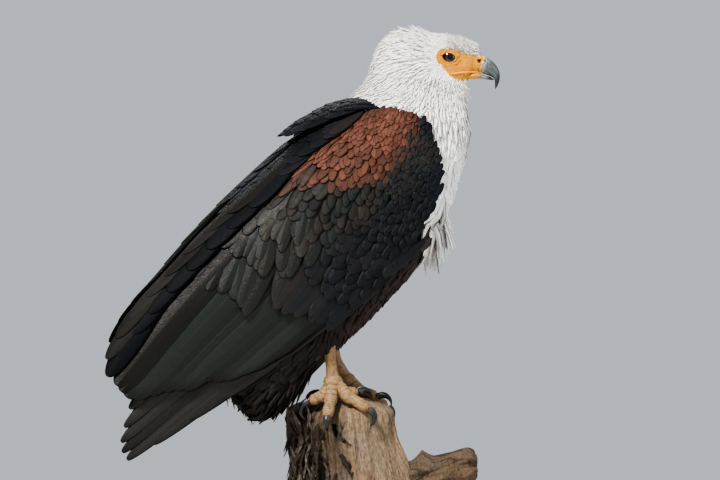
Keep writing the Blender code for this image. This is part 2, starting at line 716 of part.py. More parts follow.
def toe_path(foot, heading, length, radius):
    """Centre line of a toe that follows the broken end of the perch outward."""
    out = Vector((cos(radians(heading)), sin(radians(heading)), 0))
    start = Matrix.Rotation(-PERCH_TURN, 3, "Z") @ foot
    points = []
    count = TOE_RINGS
    for k in range(count + 1):
        reach = length * k / count
        spot = start + out * reach
        height = perch_top(spot.x, spot.y) + radius[k] + TOE_REST
        over = max(0.0, start.z - height) * max(0.0, 1 - 2 * k / count) ** 1.5
        arch = 0.0022 * abs(sin(2.5 * pi * k / count))
        points.append(on_perch(spot.x, spot.y, height + over + arch))
    return points


def toe_radii(grow=0.0):
    steps = [k / TOE_RINGS for k in range(TOE_RINGS + 1)]
    return [TOE_RADIUS * (1.12 - 0.30 * t + 0.07 * cos(5 * pi * t)) + grow for t in steps]


def claw_path(points, length, rise):
    """A hooked claw that leaves the toe at a rise and turns down through a quarter and more."""
    ahead = (points[-1] - points[-3]).normalized()
    flat = Vector((ahead.x, ahead.y, 0)).normalized()
    angle = asin(max(-1.0, min(1.0, ahead.z))) + radians(rise)
    place = points[-1] + ahead * 0.0015
    path = [place.copy()]
    for _ in range(CLAW_RINGS):
        angle -= radians(125) / CLAW_RINGS
        place = place + (flat * cos(angle) + Vector((0, 0, sin(angle)))) * length / CLAW_RINGS
        path.append(place.copy())
    return path


def claw_radii():
    steps = [k / CLAW_RINGS for k in range(CLAW_RINGS + 1)]
    return [CLAW_RADIUS * (1 - t ** 1.4) + CLAW_POINT for t in steps]


def foot(name, place, toes, tarsus_room, perch):
    """The palm with its toes, and a separate claw on each toe. The perch gives way to them."""
    radii = toe_radii()
    middle = place - Vector((0, 0, PALM_DROP))
    palm = ball(name, middle, PALM_RADIUS, SCALES)
    for digit, heading, length, claw_length, rise in toes:
        path = toe_path(place, heading, length, radii)
        toe = make_cutter(tube(f"{name}_{digit}_toe", path, radii, SCALES))
        combine(palm, toe, "UNION")
        claw = tube(f"{name}_{digit}_claw", claw_path(path, claw_length, rise), claw_radii(), CLAW)
        toe_room = make_cutter(tube(f"{name}_{digit}_room", path, toe_radii(GAP), SCALES))
        combine(claw, toe_room)
        combine(perch, toe_room, solver="MANIFOLD")
    combine(palm, tarsus_room)


# ---------------------------------------------------------------- whole model
def clear_scene():
    for item in list(bpy.data.objects):
        bpy.data.objects.remove(item, do_unlink=True)
    bpy.context.scene.collection.children.link(bpy.data.collections.new(CUTTERS))


def build_stand():
    disc("stand_base", BASE_CENTRE, BASE_RADIUS, 0.0, BASE_HEIGHT, 0.003, BASE)
    top = BASE_HEIGHT + GAP
    disc("stand_collar", (0, 0), COLLAR_RADIUS, top, top + COLLAR_HEIGHT, 0.0015, STEEL, 20)
    disc("stand_rod", (0, 0), ROD_RADIUS, top + COLLAR_HEIGHT + GAP, PERCH_BOTTOM - GAP, 0.0005, STEEL, 16)


def build_bird():
    trunk()
    body_room = make_cutter(trunk("trunk_room", 2 * GAP))
    combine(breast(), body_room)
    back = mantle()
    combine(back, body_room)
    combine(back, make_cutter(neck("neck_room", 3 * GAP)))
    back_room = make_cutter(mantle("mantle_room", GAP))
    for side, name, fold in ((-1, "wing_right", 1.0), (1, "wing_left", LEFT_FOLD)):
        for layer in wing(side, name, fold):
            combine(layer, body_room)
            combine(layer, back_room)
    tail_piece = tail()
    combine(tail_piece, body_room)

    throat = neck()
    skull_room = make_cutter(head("head_room", 2.5 * GAP))
    combine(throat, skull_room)
    skull = head()
    bill()
    rooms = [loft("cere_room", bill_rings(CERE_RINGS, 6, GAP), CERE),
             loft("bill_lower_room", bill_rings(LOWER_BILL_RINGS, 7, GAP), HORN)]
    for side, name in ((-1, "eye_right"), (1, "eye_left")):
        centre = on_head(0, side * EYE_SPREAD, 0)
        ball(name, centre, EYE_RADIUS, EYE)
        rooms.append(ball(f"{name}_room", centre, EYE_RADIUS + GAP, EYE))
    for room in rooms:
        combine(skull, make_cutter(room))
    return body_room


def build_legs(body_room, perch):
    for hip, ankle, place, toes, name in zip(HIPS, ANKLES, FEET, TOES, ("leg_right", "leg_left")):
        upper = thigh(f"{name}_thigh", hip, ankle)
        combine(upper, body_room)
        shank = tarsus(f"{name}_tarsus", ankle, place)
        combine(shank, body_room)
        combine(shank, make_cutter(thigh(f"{name}_thigh_room", hip, ankle, GAP)))
        shank_room = make_cutter(tarsus(f"{name}_tarsus_room", ankle, place, GAP))
        foot(f"{name}_foot", place, toes, shank_room, perch)


def main():
    clear_scene()
    build_stand()
    perch = perch_trunk()
    combine(perch, make_cutter(side_branch()), "UNION")
    body_room = build_bird()
    build_legs(body_room, perch)


main()
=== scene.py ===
"""Looks of the African fish eagle: skin, feathers, eyes, bill, feet, perch and stand."""

from itertools import product
from math import asin, cos, pi, radians, sin, sqrt

import bmesh
import bpy
import numpy as np
from mathutils import Matrix, Vector, noise
from mathutils.bvhtree import BVHTree


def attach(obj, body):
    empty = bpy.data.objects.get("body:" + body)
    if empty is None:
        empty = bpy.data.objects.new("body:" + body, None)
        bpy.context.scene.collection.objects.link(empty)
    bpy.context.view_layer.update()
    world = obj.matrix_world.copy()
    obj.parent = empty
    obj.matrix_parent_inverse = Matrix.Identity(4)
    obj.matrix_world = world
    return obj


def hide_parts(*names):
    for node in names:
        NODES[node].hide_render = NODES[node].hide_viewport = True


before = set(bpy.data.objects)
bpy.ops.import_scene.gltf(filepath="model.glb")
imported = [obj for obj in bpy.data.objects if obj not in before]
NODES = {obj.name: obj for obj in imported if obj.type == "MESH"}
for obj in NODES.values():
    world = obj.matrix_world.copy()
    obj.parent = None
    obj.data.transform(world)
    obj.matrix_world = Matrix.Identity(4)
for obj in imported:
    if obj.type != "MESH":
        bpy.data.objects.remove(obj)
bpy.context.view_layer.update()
RNG = np.random.default_rng(11)
MM = 0.001

# ------------------------------------------------------------- sizes shared with the solids
BEND = np.array((0.090, 0.0, 0.579))
SLOPE = radians(41.8)
ALONG = np.array((-cos(SLOPE), 0.0, -sin(SLOPE)))
ACROSS = np.array((-sin(SLOPE), 0.0, cos(SLOPE)))
ASIDE = np.array((0.0, 1.0, 0.0))
EYE = np.array((0.1430, -0.0123, 0.7004))
EYE_RADIUS, EYE_SPREAD = 0.0125, 0.0130
TURN = np.array(Matrix.Rotation(radians(-24), 3, "Z"))
VOXEL = 0.0024

SHELL_WIDTH = ((-60, 86), (0, 96), (100, 101), (200, 95), (300, 75), (400, 53), (500, 36), (600, 24))
SHELL_RIDGE = ((-60, 78), (0, 98), (50, 107), (100, 112), (150, 115), (290, 114), (370, 108),
               (415, 106), (451, 102), (488, 93), (521, 80), (600, 70))
SHELL_POWER = 2 / 2.4
UNDERSIDE = 140
WING_LOWER = ((-22, 0.24), (-18, 0.15), (-10, 0.05), (5, -0.05), (28, -0.15), (60, -0.215),
              (100, -0.275), (140, -0.32), (190, -0.345), (245, -0.325), (300, -0.27), (362, -0.235),
              (375, -0.18), (403, -0.11), (431, -0.03), (468, 0.03), (502, 0.12), (526, 0.22))
WING_UPPER = ((-22, 0.27), (-18, 0.42), (-8, 0.60), (12, 0.75), (40, 0.86), (80, 0.93), (130, 0.965),
              (395, 0.965), (435, 0.84), (472, 0.67), (502, 0.50), (518, 0.40), (526, 0.33))
LEFT_FOLD = 0.94
# along, height of the top, rise and half width of the lifted feathers of the upper back
MANTLE = np.array(((-6, 88, 4, 18), (14, 104, 12, 40), (40, 118, 13, 44), (66, 126, 12, 36),
                   (90, 132, 9, 24), (108, 135, 5, 12), (120, 135, 2.0, 4)))

PERCH_SPIN = Matrix.Rotation(radians(-24), 3, "Z")
PERCH_FRAME = np.array(PERCH_SPIN).T
PERCH_DEPTH, PERCH_RIM, PERCH_CROWN = 0.062, 0.240, 0.259
PERCH_RINGS = np.array(((100, -75, 95), (128, -76, 92), (155, -76, 88), (180, -77, 80),
                        (204, -81, 70), (224, -81, 65)), float)
PERCH_LAST = 0.224
CROWN_CURVE = 2.6
ROT_SIDE, SLAB_SIDE = radians(222), radians(236)
BRANCH_RINGS = ((52, 136, 40, 30), (76, 141, 34, 29), (96, 147, 30, 27), (116, 153, 27, 25),
                (136, 160, 27, 24), (152, 163, 28, 23), (164, 165, 24, 20), (172, 166, 14, 13))
# the wide split in the trunk: its angle, slant, middle height, reach and width
SPLIT = (-pi / 2 - 0.12, -8.5, 0.222, 0.032, 0.042)
SPLINTERS = 130
STAND_MIDDLE = (-0.010, 0.0)

ANKLES = (Vector((-0.0375, -0.032, 0.330)), Vector((-0.0060, 0.032, 0.318)))
FEET = (Vector((-0.0300, -0.030, 0.2800)), Vector((0.0150, 0.030, 0.2800)))
# each toe: heading, length, claw's length and the angle at which the claw starts
TOES = (
    (("inner", 30, 0.036, 0.027, 58), ("middle", -22, 0.050, 0.026, 14),
     ("outer", -102, 0.036, 0.023, 14), ("hind", 186, 0.031, 0.030, 14)),
    (("inner", -18, 0.042, 0.027, 58), ("middle", 8, 0.054, 0.026, 14),
     ("outer", 62, 0.038, 0.023, 14), ("hind", 172, 0.031, 0.030, 58)),
)
TOE_RADIUS, PALM_RADIUS, CLAW_TURN = 0.0082, 0.0125, 125
# top edge x and z, bottom edge x and z, half width
UPPER_BILL_RINGS = (
    (46.9, 2.6, 39.5, -19.0, 10.3), (52.6, -0.6, 46.0, -20.8, 9.6), (57.8, -4.6, 51.5, -22.6, 8.5),
    (62.4, -9.6, 56.0, -24.6, 7.1), (65.7, -15.8, 59.0, -26.8, 5.6), (67.1, -22.4, 60.2, -29.4, 4.1),
    (66.6, -29.4, 60.6, -33.0, 2.8), (64.4, -35.6, 60.7, -37.0, 1.7), (61.5, -40.6, 60.8, -40.4, 0.7))
LOWER_BILL_RINGS = ((15, -20.0, 15, -27.4, 11.8), (27, -20.3, 27, -27.6, 10.6),
                    (39, -20.0, 40, -27.4, 8.8), (48, -22.6, 48, -28.0, 6.8),
                    (55, -25.0, 55, -28.8, 4.4), (59, -27.9, 59, -29.3, 1.8))

# outlines in millimetres: bare skin of the face, nostril, chestnut patch, lower edge of the painted
# shadow under the tertials
FACE_OUTLINE = ((-14, 1), (-11, 7), (-4, 11), (5, 11), (11, 8), (21, 5.5), (33, 3), (50, 2.5),
                (50, -29), (30, -28.5), (14, -27.5), (4, -22), (-1, -15.5), (-7, -9), (-12, -5))
NOSTRIL = ((36.6, -2.4), (42.6, -1.8), (41.4, -7.4), (38.4, -6.4))
CHESTNUT_OUTLINE = ((-14, 50), (5, 70), (24, 84), (73, 106), (126, 119), (200, 122), (196, 108),
                    (160, 98), (150, 70), (128, 52), (90, 36), (60, 34), (20, 42))
TERTIAL_SHADOW = ((240, 86), (300, 72), (364, 60), (430, 54), (488, 46), (520, 30))

WHITE = np.array((0.93, 0.92, 0.89))
SHADE_WHITE = np.array((0.86, 0.835, 0.78))
BELLY = np.array((0.0175, 0.0085, 0.0065))
VENT = np.array((0.010, 0.008, 0.008))
BLACK = np.array((0.0048, 0.0055, 0.0074))
SLATE = np.array((0.0090, 0.0122, 0.0122))
BROWN = np.array((0.0225, 0.0150, 0.0110))
OLIVE = np.array((0.0150, 0.0172, 0.0132))
# dark navy: painted shade on the wing's front and in the gaps under its feathers
SHADE_NAVY = np.array((0.0040, 0.0052, 0.0082))
CHESTNUT = np.array((0.094, 0.034, 0.0205))
YELLOW = np.array((0.66, 0.265, 0.001))
# painted shade for the hollows of the bare skin's folds
FOLD_SHADE_YELLOW = np.array((0.28, 0.070, 0.002))
# grey of the bristles of the lores, also used as painted shade under the brow
BRISTLE_AND_SHADE_GREY = np.array((0.20, 0.175, 0.15))
HORN_PALE = np.array((0.23, 0.25, 0.21))
HORN_GREY = np.array((0.060, 0.076, 0.074))
HORN_BLACK = np.array((0.009, 0.010, 0.011))
SCALE = np.array((0.215, 0.118, 0.046))
SCALE_PALE = np.array((0.31, 0.195, 0.092))
SCALE_DARK = np.array((0.050, 0.028, 0.016))
CLAW_ROOT = np.array((0.040, 0.036, 0.034))
CLAW_TIP = np.array((0.010, 0.010, 0.011))
WOOD = np.array((0.16, 0.104, 0.062))
WOOD_PALE = np.array((0.264, 0.188, 0.116))
WOOD_GREY = np.array((0.136, 0.116, 0.098))
WOOD_DARK = np.array((0.022, 0.015, 0.011))
STRAND_WIDTH, STRAND_LENGTH = 0.00035, 0.007
# points tried before those too near each other are dropped
HEAD_TRIES, TRUNK_TRIES = 130000, 26000
THROAT_END = 0.600


# ------------------------------------------------------------- plain helpers
def curve(x, table):
    """Smooth value of a table of (place, value) pairs, flat beyond its ends, for arrays."""
    xs, ys = np.asarray(table, float).T
    index = np.arange(len(xs))
    low, high = np.maximum(index - 1, 0), np.minimum(index + 1, len(xs) - 1)
    slope = (ys[high] - ys[low]) / (xs[high] - xs[low])
    x = np.clip(np.asarray(x, float), xs[0], xs[-1])
    i = np.clip(np.searchsorted(xs, x, side="right") - 1, 0, len(xs) - 2)
    h = xs[i + 1] - xs[i]
    u = (x - xs[i]) / h
    return ((2 * u ** 3 - 3 * u ** 2 + 1) * ys[i] + (u ** 3 - 2 * u ** 2 + u) * h * slope[i]
            + (3 * u ** 2 - 2 * u ** 3) * ys[i + 1] + (u ** 3 - u ** 2) * h * slope[i + 1])


def even_curve(place, rows):
    """Rows of a table whose rows are one apart, at places counted from its first row."""
    return np.stack([curve(place, list(enumerate(column))) for column in rows.T], -1)


def step(low, high, x):
    u = np.clip((np.asarray(x, float) - low) / (high - low), 0, 1)
    return u * u * (3 - 2 * u)


def unit(v):
    return v / np.maximum(np.linalg.norm(v, axis=-1, keepdims=True), 1e-9)


def mix(a, b, t):
    t = np.asarray(t)[..., None]
    return a * (1 - t) + b * t


def circle(sides):
    return np.linspace(0, 2 * pi, sides, endpoint=False)


def share(x):
    return np.clip(x, 0, 1)


def to_head(p):
    return (p - EYE) @ TURN


def from_head(p):
    return EYE + p @ TURN.T


def inside(outline, x, y):
    """Signed distance to an outline, positive inside."""
    pts = np.asarray(outline, float)
    best = np.full(np.shape(x), 1e9)
    odd = np.zeros(np.shape(x), bool)
    for (x0, y0), (x1, y1) in zip(pts, np.roll(pts, -1, 0)):
        ex, ey = x1 - x0, y1 - y0
        t = np.clip(((x - x0) * ex + (y - y0) * ey) / (ex * ex + ey * ey), 0, 1)
        best = np.minimum(best, np.hypot(x - x0 - t * ex, y - y0 - t * ey))
        crosses = (y0 > y) != (y1 > y)
        odd ^= crosses & (x < x0 + (y - y0) * ex / (ey or 1e-9))
    return np.where(odd, best, -best)


def ripple(p, scale, seed=0.0):
    """Smooth noise from -1 to 1 at an array of points."""
    flat = np.asarray(p, float).reshape(-1, 3) / scale + seed
    return np.array([noise.noise(q) for q in flat.tolist()]).reshape(np.shape(p)[:-1])


def read(items, field, width):
    """A field of all vertices, loops or triangles as rows of an array."""
    flat = np.empty(len(items) * width, np.int32 if field in ("vertices", "loops") else float)
    items.foreach_get(field, flat)
    return flat.reshape(-1, width)


def add_object(name, data):
    made = bpy.data.objects.new(name, data)
    bpy.context.scene.collection.objects.link(made)
    return made


def bmesh_object(name, bm):
    mesh = bpy.data.meshes.new(name)
    bm.to_mesh(mesh)
    bm.free()
    return add_object(name, mesh)


def paint(mesh, tint):
    colours = np.ones((len(mesh.vertices), 4), np.float32)
    colours[:, :3] = np.clip(tint, 0, 1)
    layer = mesh.color_attributes.new("tint", "FLOAT_COLOR", "POINT")
    layer.data.foreach_set("color", colours.ravel())


def mesh_object(name, verts, groups, tint, maps):
    """A mesh from arrays of points, of quads and triangles, of colours and of UV maps."""
    mesh = bpy.data.meshes.new(name)
    mesh.vertices.add(len(verts))
    mesh.vertices.foreach_set("co", np.ascontiguousarray(verts, np.float32).ravel())
    loops = np.concatenate([g.ravel() for g in groups]).astype(np.int32)
    totals = np.concatenate([np.full(len(g), g.shape[1]) for g in groups])
    mesh.loops.add(len(loops))
    mesh.loops.foreach_set("vertex_index", loops)
    mesh.polygons.add(len(totals))
    mesh.polygons.foreach_set("loop_start", (np.cumsum(totals) - totals).astype(np.int32))
    mesh.update(calc_edges=True)
    mesh.polygons.foreach_set("use_smooth", np.ones(len(totals), bool))
    paint(mesh, tint)
    for layer, values in maps.items():
        made = mesh.uv_layers.new(name=layer)
        made.data.foreach_set("uv", np.ascontiguousarray(values[loops], np.float32).ravel())
    return add_object(name, mesh)


def grid_faces(rows, columns):
    """Quads of a grid of rows by columns in which each row is a ring."""
    r, c = np.meshgrid(np.arange(rows - 1), np.arange(columns), indexing="ij")
    n = (c + 1) % columns
    return np.stack([r * columns + c, r * columns + n, (r + 1) * columns + n, (r + 1) * columns + c],
                    -1).reshape(-1, 4)


def end_fans(rows, columns, first):
    """Triangles that close both ends of such a grid round two points, the first at that index."""
    k = np.arange(columns)
    n = (k + 1) % columns
    base = (rows - 1) * columns
    return (np.stack([np.full(columns, first), n, k], -1),
            np.stack([np.full(columns, first + 1), base + k, base + n], -1))


def fix_normals(made):
    bm = bmesh.new()
    bm.from_mesh(made.data)
    bmesh.ops.recalc_face_normals(bm, faces=bm.faces)
    bm.to_mesh(made.data)
    bm.free()
    return made


def loft(name, rings, tint):
    """A closed body through rings given as an array of rows, points and coordinates."""
    rows, columns = rings.shape[:2]
    tint = np.broadcast_to(tint, rings.shape)
    verts, colours = (np.concatenate([v.reshape(-1, 3), [v[0].mean(0), v[-1].mean(0)]])
                      for v in (rings, tint))
    faces = [grid_faces(rows, columns), *end_fans(rows, columns, rows * columns)]
    return fix_normals(mesh_object(name, verts, faces, colours, {}))


def join(parts, name):
    with bpy.context.temp_override(active_object=parts[0], selected_editable_objects=parts):
        bpy.ops.object.join()
    parts[0].name = parts[0].data.name = name
    return parts[0]


def place(made, slot, nodes):
    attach(made, "root")
    if nodes:
        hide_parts(*nodes)
    return made


def dress(made, look, slot, *nodes):
    """Gives a piece its material, the OFBake map in flat charts, and its place in the model."""
    made.data.materials.append(look)
    bpy.ops.object.select_all(action="DESELECT")
    made.select_set(True)
    bpy.context.view_layer.objects.active = made
    bake = made.data.uv_layers.new(name="OFBake")
    bake.active = bake.active_render = True
    bpy.ops.object.mode_set(mode="EDIT")
    bpy.ops.mesh.select_all(action="SELECT")
    bpy.ops.uv.smart_project(angle_limit=radians(66), island_margin=0.004)
    bpy.ops.object.mode_set(mode="OBJECT")
    made.select_set(False)
    return place(made, slot, nodes)


# ------------------------------------------------------------- materials
class Look:
    """A material of procedural nodes round one shader."""

    def __init__(self, name, roughness, **inputs):
        self.made = bpy.data.materials.new(name)
        self.made.use_nodes = True
        self.shader = self.made.node_tree.nodes["Principled BSDF"]
        self.set(self.shader, Roughness=roughness, **inputs)

    def set(self, node, **inputs):
        """Links or sets the inputs of a node; _ in a name stands for a space, _0 for the first."""
        for key, value in inputs.items():
            into = node.inputs[int(key[1:]) if key[0] == "_" else key.replace("_", " ")]
            if isinstance(value, bpy.types.NodeSocket):
                self.made.node_tree.links.new(value, into)
            else:
                into.default_value = value

    def node(self, kind, settings=None, **inputs):
        made = self.made.node_tree.nodes.new("ShaderNode" + kind)
        for key, value in (settings or {}).items():
            setattr(made, key, value)
        self.set(made, **inputs)
        return made.outputs

    def math(self, kind, *values):
        return self.node("Math", {"operation": kind}, **{f"_{k}": v for k, v in enumerate(values)})[0]

    def noise(self, spot, scale, detail, dimensions="3D", **inputs):
        return self.node("TexNoise", {"noise_dimensions": dimensions}, Vector=spot, Scale=scale,
                         Detail=detail, **inputs)["Fac"]

    def spot(self, scale=(1, 1, 1)):
        return self.node("Mapping", Vector=self.node("TexCoord")["Object"], Scale=scale)[0]

    def vane(self):
        """Metres from the shaft and along it."""
        return self.node("SeparateXYZ", Vector=self.node("UVMap", {"uv_map": "vane"})[0])

    def finish(self, amount=None, height=None, distance=0.0):
        """Takes the piece's own tint, times an amount, with bumps of a height."""
        tint = self.node("VertexColor", {"layer_name": "tint"})[0]
        if amount:
            tint = self.node("VectorMath", {"operation": "SCALE"}, _0=tint, Scale=amount)[0]
        self.set(self.shader, Base_Color=tint)
        if height:
            self.set(self.shader, Normal=self.node("Bump", Height=height, Distance=distance)[0])
        return self.made


def tint_material(name, roughness, grain=0.0, grain_size=0.004, bump=0.0, **inputs):
    """Takes its colour from the piece's own tint, with a fine procedural grain."""
    look = Look(name, roughness, **inputs)
    if not grain:
        return look.finish()
    rough = look.noise(look.spot(), 1 / grain_size, 5)
    return look.finish(look.math("MULTIPLY_ADD", rough, 2 * grain, 1 - grain), bump and rough, bump)


def vane_material(name, roughness, barb, contrast, shaft, bump, **inputs):
    """Feather vanes: barbs slanting from the shaft, which the vane map's first axis measures from."""
    look = Look(name, roughness, **inputs)
    vane = look.vane()
    away = look.math("ABSOLUTE", vane[0])
    slant = look.math("MULTIPLY_ADD", away, -1.15, vane[1])
    wave = look.math("SINE", look.math("MULTIPLY", slant, 2 * pi / barb))
    spot = look.node("CombineXYZ", _0=look.math("MULTIPLY", away, 0.35 / barb),
                     _1=look.math("MULTIPLY", slant, 1.1 / barb))[0]
    mottled = look.math("MULTIPLY_ADD", look.noise(spot, 1.0, 4, "2D"), 2.2, -1.1)
    rough = look.math("MULTIPLY_ADD", wave, 0.35, mottled)
    amount = look.math("MULTIPLY_ADD", rough, contrast, 1.0)
    near_shaft = look.math("LESS_THAN", away, shaft[0])
    return look.finish(look.math("MULTIPLY_ADD", near_shaft, shaft[1], amount), rough, bump)


def down_material(name):
    """Loose white feathers: soft, with fine strands that run along each one."""
    look = Look(name, 0.8, Specular_IOR_Level=0.2)
    vane = look.vane()
    height = look.node("SeparateXYZ", Vector=look.node("TexCoord")["Object"])[2]
    spot = look.node("CombineXYZ", _0=look.math("MULTIPLY", vane[0], 1 / STRAND_WIDTH),
                     _1=look.math("MULTIPLY", vane[1], 1 / STRAND_LENGTH),
                     _2=look.math("MULTIPLY", height, 60.0))[0]
    strands = look.noise(spot, 1.0, 2)
    return look.finish(look.math("MULTIPLY_ADD", strands, 0.10, 0.97), strands, 0.00020)


def wood_material(name):
    """Weathered wood: long fibres with a coarse crumbled grain over them."""
    look = Look(name, 0.9, Specular_IOR_Level=0.2)
    fibres, crumbs = (look.noise(look.spot((1, 1, along)), 1 / size, 6, Roughness=0.65)
                      for size, along in ((0.0015, 0.10), (0.0030, 0.55)))
    height = look.math("MULTIPLY_ADD", crumbs, 1.3, fibres)
    return look.finish(look.math("MULTIPLY_ADD", height, 1.7, -0.95), height, 0.0016)


# ------------------------------------------------------------- feathers as closed thin vanes
class Coat:
    """Gathers feathers of one grid size and makes them one mesh."""

    def __init__(self, name, rows, columns):
        self.name, self.rows, self.columns = name, rows, columns
        self.across = np.linspace(-1, 1, columns + 1)
        self.verts, self.tints, self.bake, self.vane = [], [], [], []

    def add(self, top, low, tint, root_uv, vane):
        """top and low: feathers x rows+1 x columns+1 x 3; tint alike; vane: the last axis is 2."""
        ring, colour, patch = (np.concatenate([front, back[:, :, -2:0:-1]], 2)
                               for front, back in ((top, low), (tint, tint), (vane, vane)))
        count = len(top)
        ends = np.stack((ring[:, 0].mean(1), ring[:, -1].mean(1)), 1)
        self.verts.append(np.concatenate([ring.reshape(count, -1, 3), ends], 1))
        self.tints.append(np.concatenate([colour.reshape(count, -1, 3), colour[:, [0, -1], 0]], 1))
        flat = np.concatenate([patch.reshape(count, -1, 2), patch[:, [0, -1], self.columns // 2]], 1)
        self.vane.append(flat)
        span = np.maximum(np.abs(flat).max((0, 1)), 1e-6)
        self.bake.append(root_uv[:, None] + 0.0015 * flat / span)

    def build(self, look, slot, *nodes):
        verts, tints, bake, vane = (np.concatenate(v) for v in (self.verts, self.tints, self.bake,
                                                                self.vane))
        count, each = verts.shape[:2]
        around = 2 * self.columns
        fans = np.concatenate(end_fans(self.rows + 1, around, each - 2))
        shift = (np.arange(count) * each)[:, None, None]
        faces = [(part[None] + shift).reshape(-1, part.shape[1])
                 for part in (grid_faces(self.rows + 1, around), fans)]
        made = mesh_object(self.name, verts.reshape(-1, 3), faces, tints.reshape(-1, 3),
                           {"OFBake": bake.reshape(-1, 2), "vane": vane.reshape(-1, 2)})
        made.data.uv_layers["OFBake"].active_render = True
        made.data.materials.append(look)
        return place(made, slot, nodes)


def taper(root, tip, close, power, full=0.35):
    """Width of a vane along its length: it widens from its root and rounds off at its tip."""
    def width(t):
        end = share((t - close) / (1 - close))
        rounded = tip + (1 - tip) * np.sqrt(np.maximum(0, 1 - end ** power))
        return (root + (1 - root) * step(0, full, t)) * rounded
    return width


def hackle(t):
    """Width of a pointed feather along its length."""
    late = np.maximum(t - 0.4, 0) / 0.6
    return np.where(t < 0.4, 0.5 + 0.5 * step(0, 0.4, t), 1 - 0.8 * late ** 1.7)


def tip_dense(rows):
    """Places along a feather, closer together toward its tip."""
    return np.sin(np.linspace(0, 1, rows + 1) * pi / 2)


class Surface:
    """A mesh that feathers are laid on."""

    def __init__(self, made):
        mesh = made.data
        mesh.calc_loop_triangles()
        self.co, self.normals = (read(mesh.vertices, field, 3) for field in ("co", "normal"))
        self.tris = read(mesh.loop_triangles, "vertices", 3)
        corners = read(mesh.loop_triangles, "loops", 3)[:, 0]
        self.uv = read(mesh.uv_layers["OFBake"].data, "uv", 2)[corners]
        self.tree = BVHTree.FromPolygons(self.co.tolist(), self.tris.tolist())

    def snap(self, points):
        """Nearest points on the surface, smooth normals there and the triangles they lie in."""
        found = [self.tree.find_nearest(p) for p in points.tolist()]
        spots = np.array([spot[0] for spot in found])
        index = np.array([spot[2] for spot in found])
        corner = self.tris[index]
        away = np.linalg.norm(self.co[corner] - spots[:, None], axis=2)
        weight = 1 / np.maximum(away, 1e-6)
        return spots, unit((self.normals[corner] * weight[..., None]).sum(1)), index

    def scatter(self, spacing, tries):
        """Evenly random points with a spacing that depends on the place; nan leaves a place bare."""
        a, b, c = (self.co[self.tris[:, k]] for k in range(3))
        area = np.linalg.norm(np.cross(b - a, c - a), axis=1)
        room = spacing((a + b + c) / 3)
        weight = np.where(np.isnan(room), 0, area / np.nan_to_num(room, nan=1.0) ** 2)
        face = RNG.choice(len(area), tries, p=weight / weight.sum())
        r = np.sqrt(RNG.random(tries))[:, None]
        s = RNG.random(tries)[:, None]
        spots = a[face] * (1 - r) + b[face] * r * (1 - s) + c[face] * r * s
        gaps = spacing(spots)
        cells = np.floor(spots / float(np.nanmax(gaps))).astype(int).tolist()
        grid, kept = {}, []
        for k in np.flatnonzero(gaps > 0).tolist():
            x, y, z = spots[k].tolist()
            i, j, m = cells[k]
            limit = gaps[k] * gaps[k]
            if not any((x - u) ** 2 + (y - v) ** 2 + (z - w) ** 2 < limit
                       for di, dj, dm in product((-1, 0, 1), repeat=3)
                       for u, v, w in grid.get((i + di, j + dj, m + dm), ())):
                grid.setdefault((i, j, m), []).append((x, y, z))
                kept.append(k)
        return spots[kept]


def lay(coat, surface, roots, length, half, lift, profile, colour, flow, flare, thick, camber, jitter,
        sag=0.0, roll=0.0):
    """Lays feathers along a surface from their roots; length, half and flare are arrays."""
    count, rows = len(roots), coat.rows
    t = tip_dense(rows)
    low_lift, high_lift = (np.broadcast_to(v, count)[:, None] for v in lift)
    turn = RNG.normal(0, jitter, count)
    centre, normal = np.empty((2, count, rows + 1, 3))
    spot, up, face = surface.snap(roots)
    uv = surface.uv[face]
    for r in range(rows + 1):
        centre[:, r], normal[:, r] = spot, up
        if r == rows:
            break
        way = flow(spot)
        way = unit(way - up * (way * up).sum(1, keepdims=True))
        way = unit(way + np.cross(up, way) * turn[:, None])
        spot, up, _ = surface.snap(spot + way * (length * (t[r + 1] - t[r]))[:, None])
    # a feather that folds over an edge or does not get along is left out
    smooth = (normal[:, 1:] * normal[:, :-1]).sum(2).min(1) > 0.60
    smooth &= np.linalg.norm(centre[:, -1] - centre[:, 0], axis=1) > 0.70 * length
    normal = unit(0.5 * normal + 0.5 * normal.mean(1, keepdims=True))
    height = low_lift + (high_lift - low_lift) * t + (flare * length)[:, None] * t ** 2.2
    centre = centre + normal * height[..., None]
    centre[..., 2] -= sag * length[:, None] * t ** 2
    ahead = unit(np.gradient(centre, axis=1))
    side = unit(np.cross(ahead, normal))
    up = np.cross(side, ahead)
    if roll:
        turned = (RNG.normal(0, roll, count)[:, None] * t)[..., None]
        c, s = np.cos(turned), np.sin(turned)
        side, up = side * c + up * s, up * c - side * s
    x = coat.across
    width = half[:, None] * profile(t)[None]
    out = side[:, :, None] * (width[..., None] * x)[..., None]
    drop = up[:, :, None] * (-camber * width[..., None] * x ** 2)[..., None]
    body = up[:, :, None] * (0.5 * thick * (1 - x ** 2))[None, None, :, None]
    middle = centre[:, :, None] + out + drop
    tint = np.broadcast_to(colour(roots, t, x), middle.shape)[smooth]
    vane = np.stack(np.broadcast_arrays(width[..., None] * x, (length[:, None] * t)[..., None]), -1)
    coat.add((middle + body)[smooth], (middle - body)[smooth], tint, uv[smooth], vane[smooth])


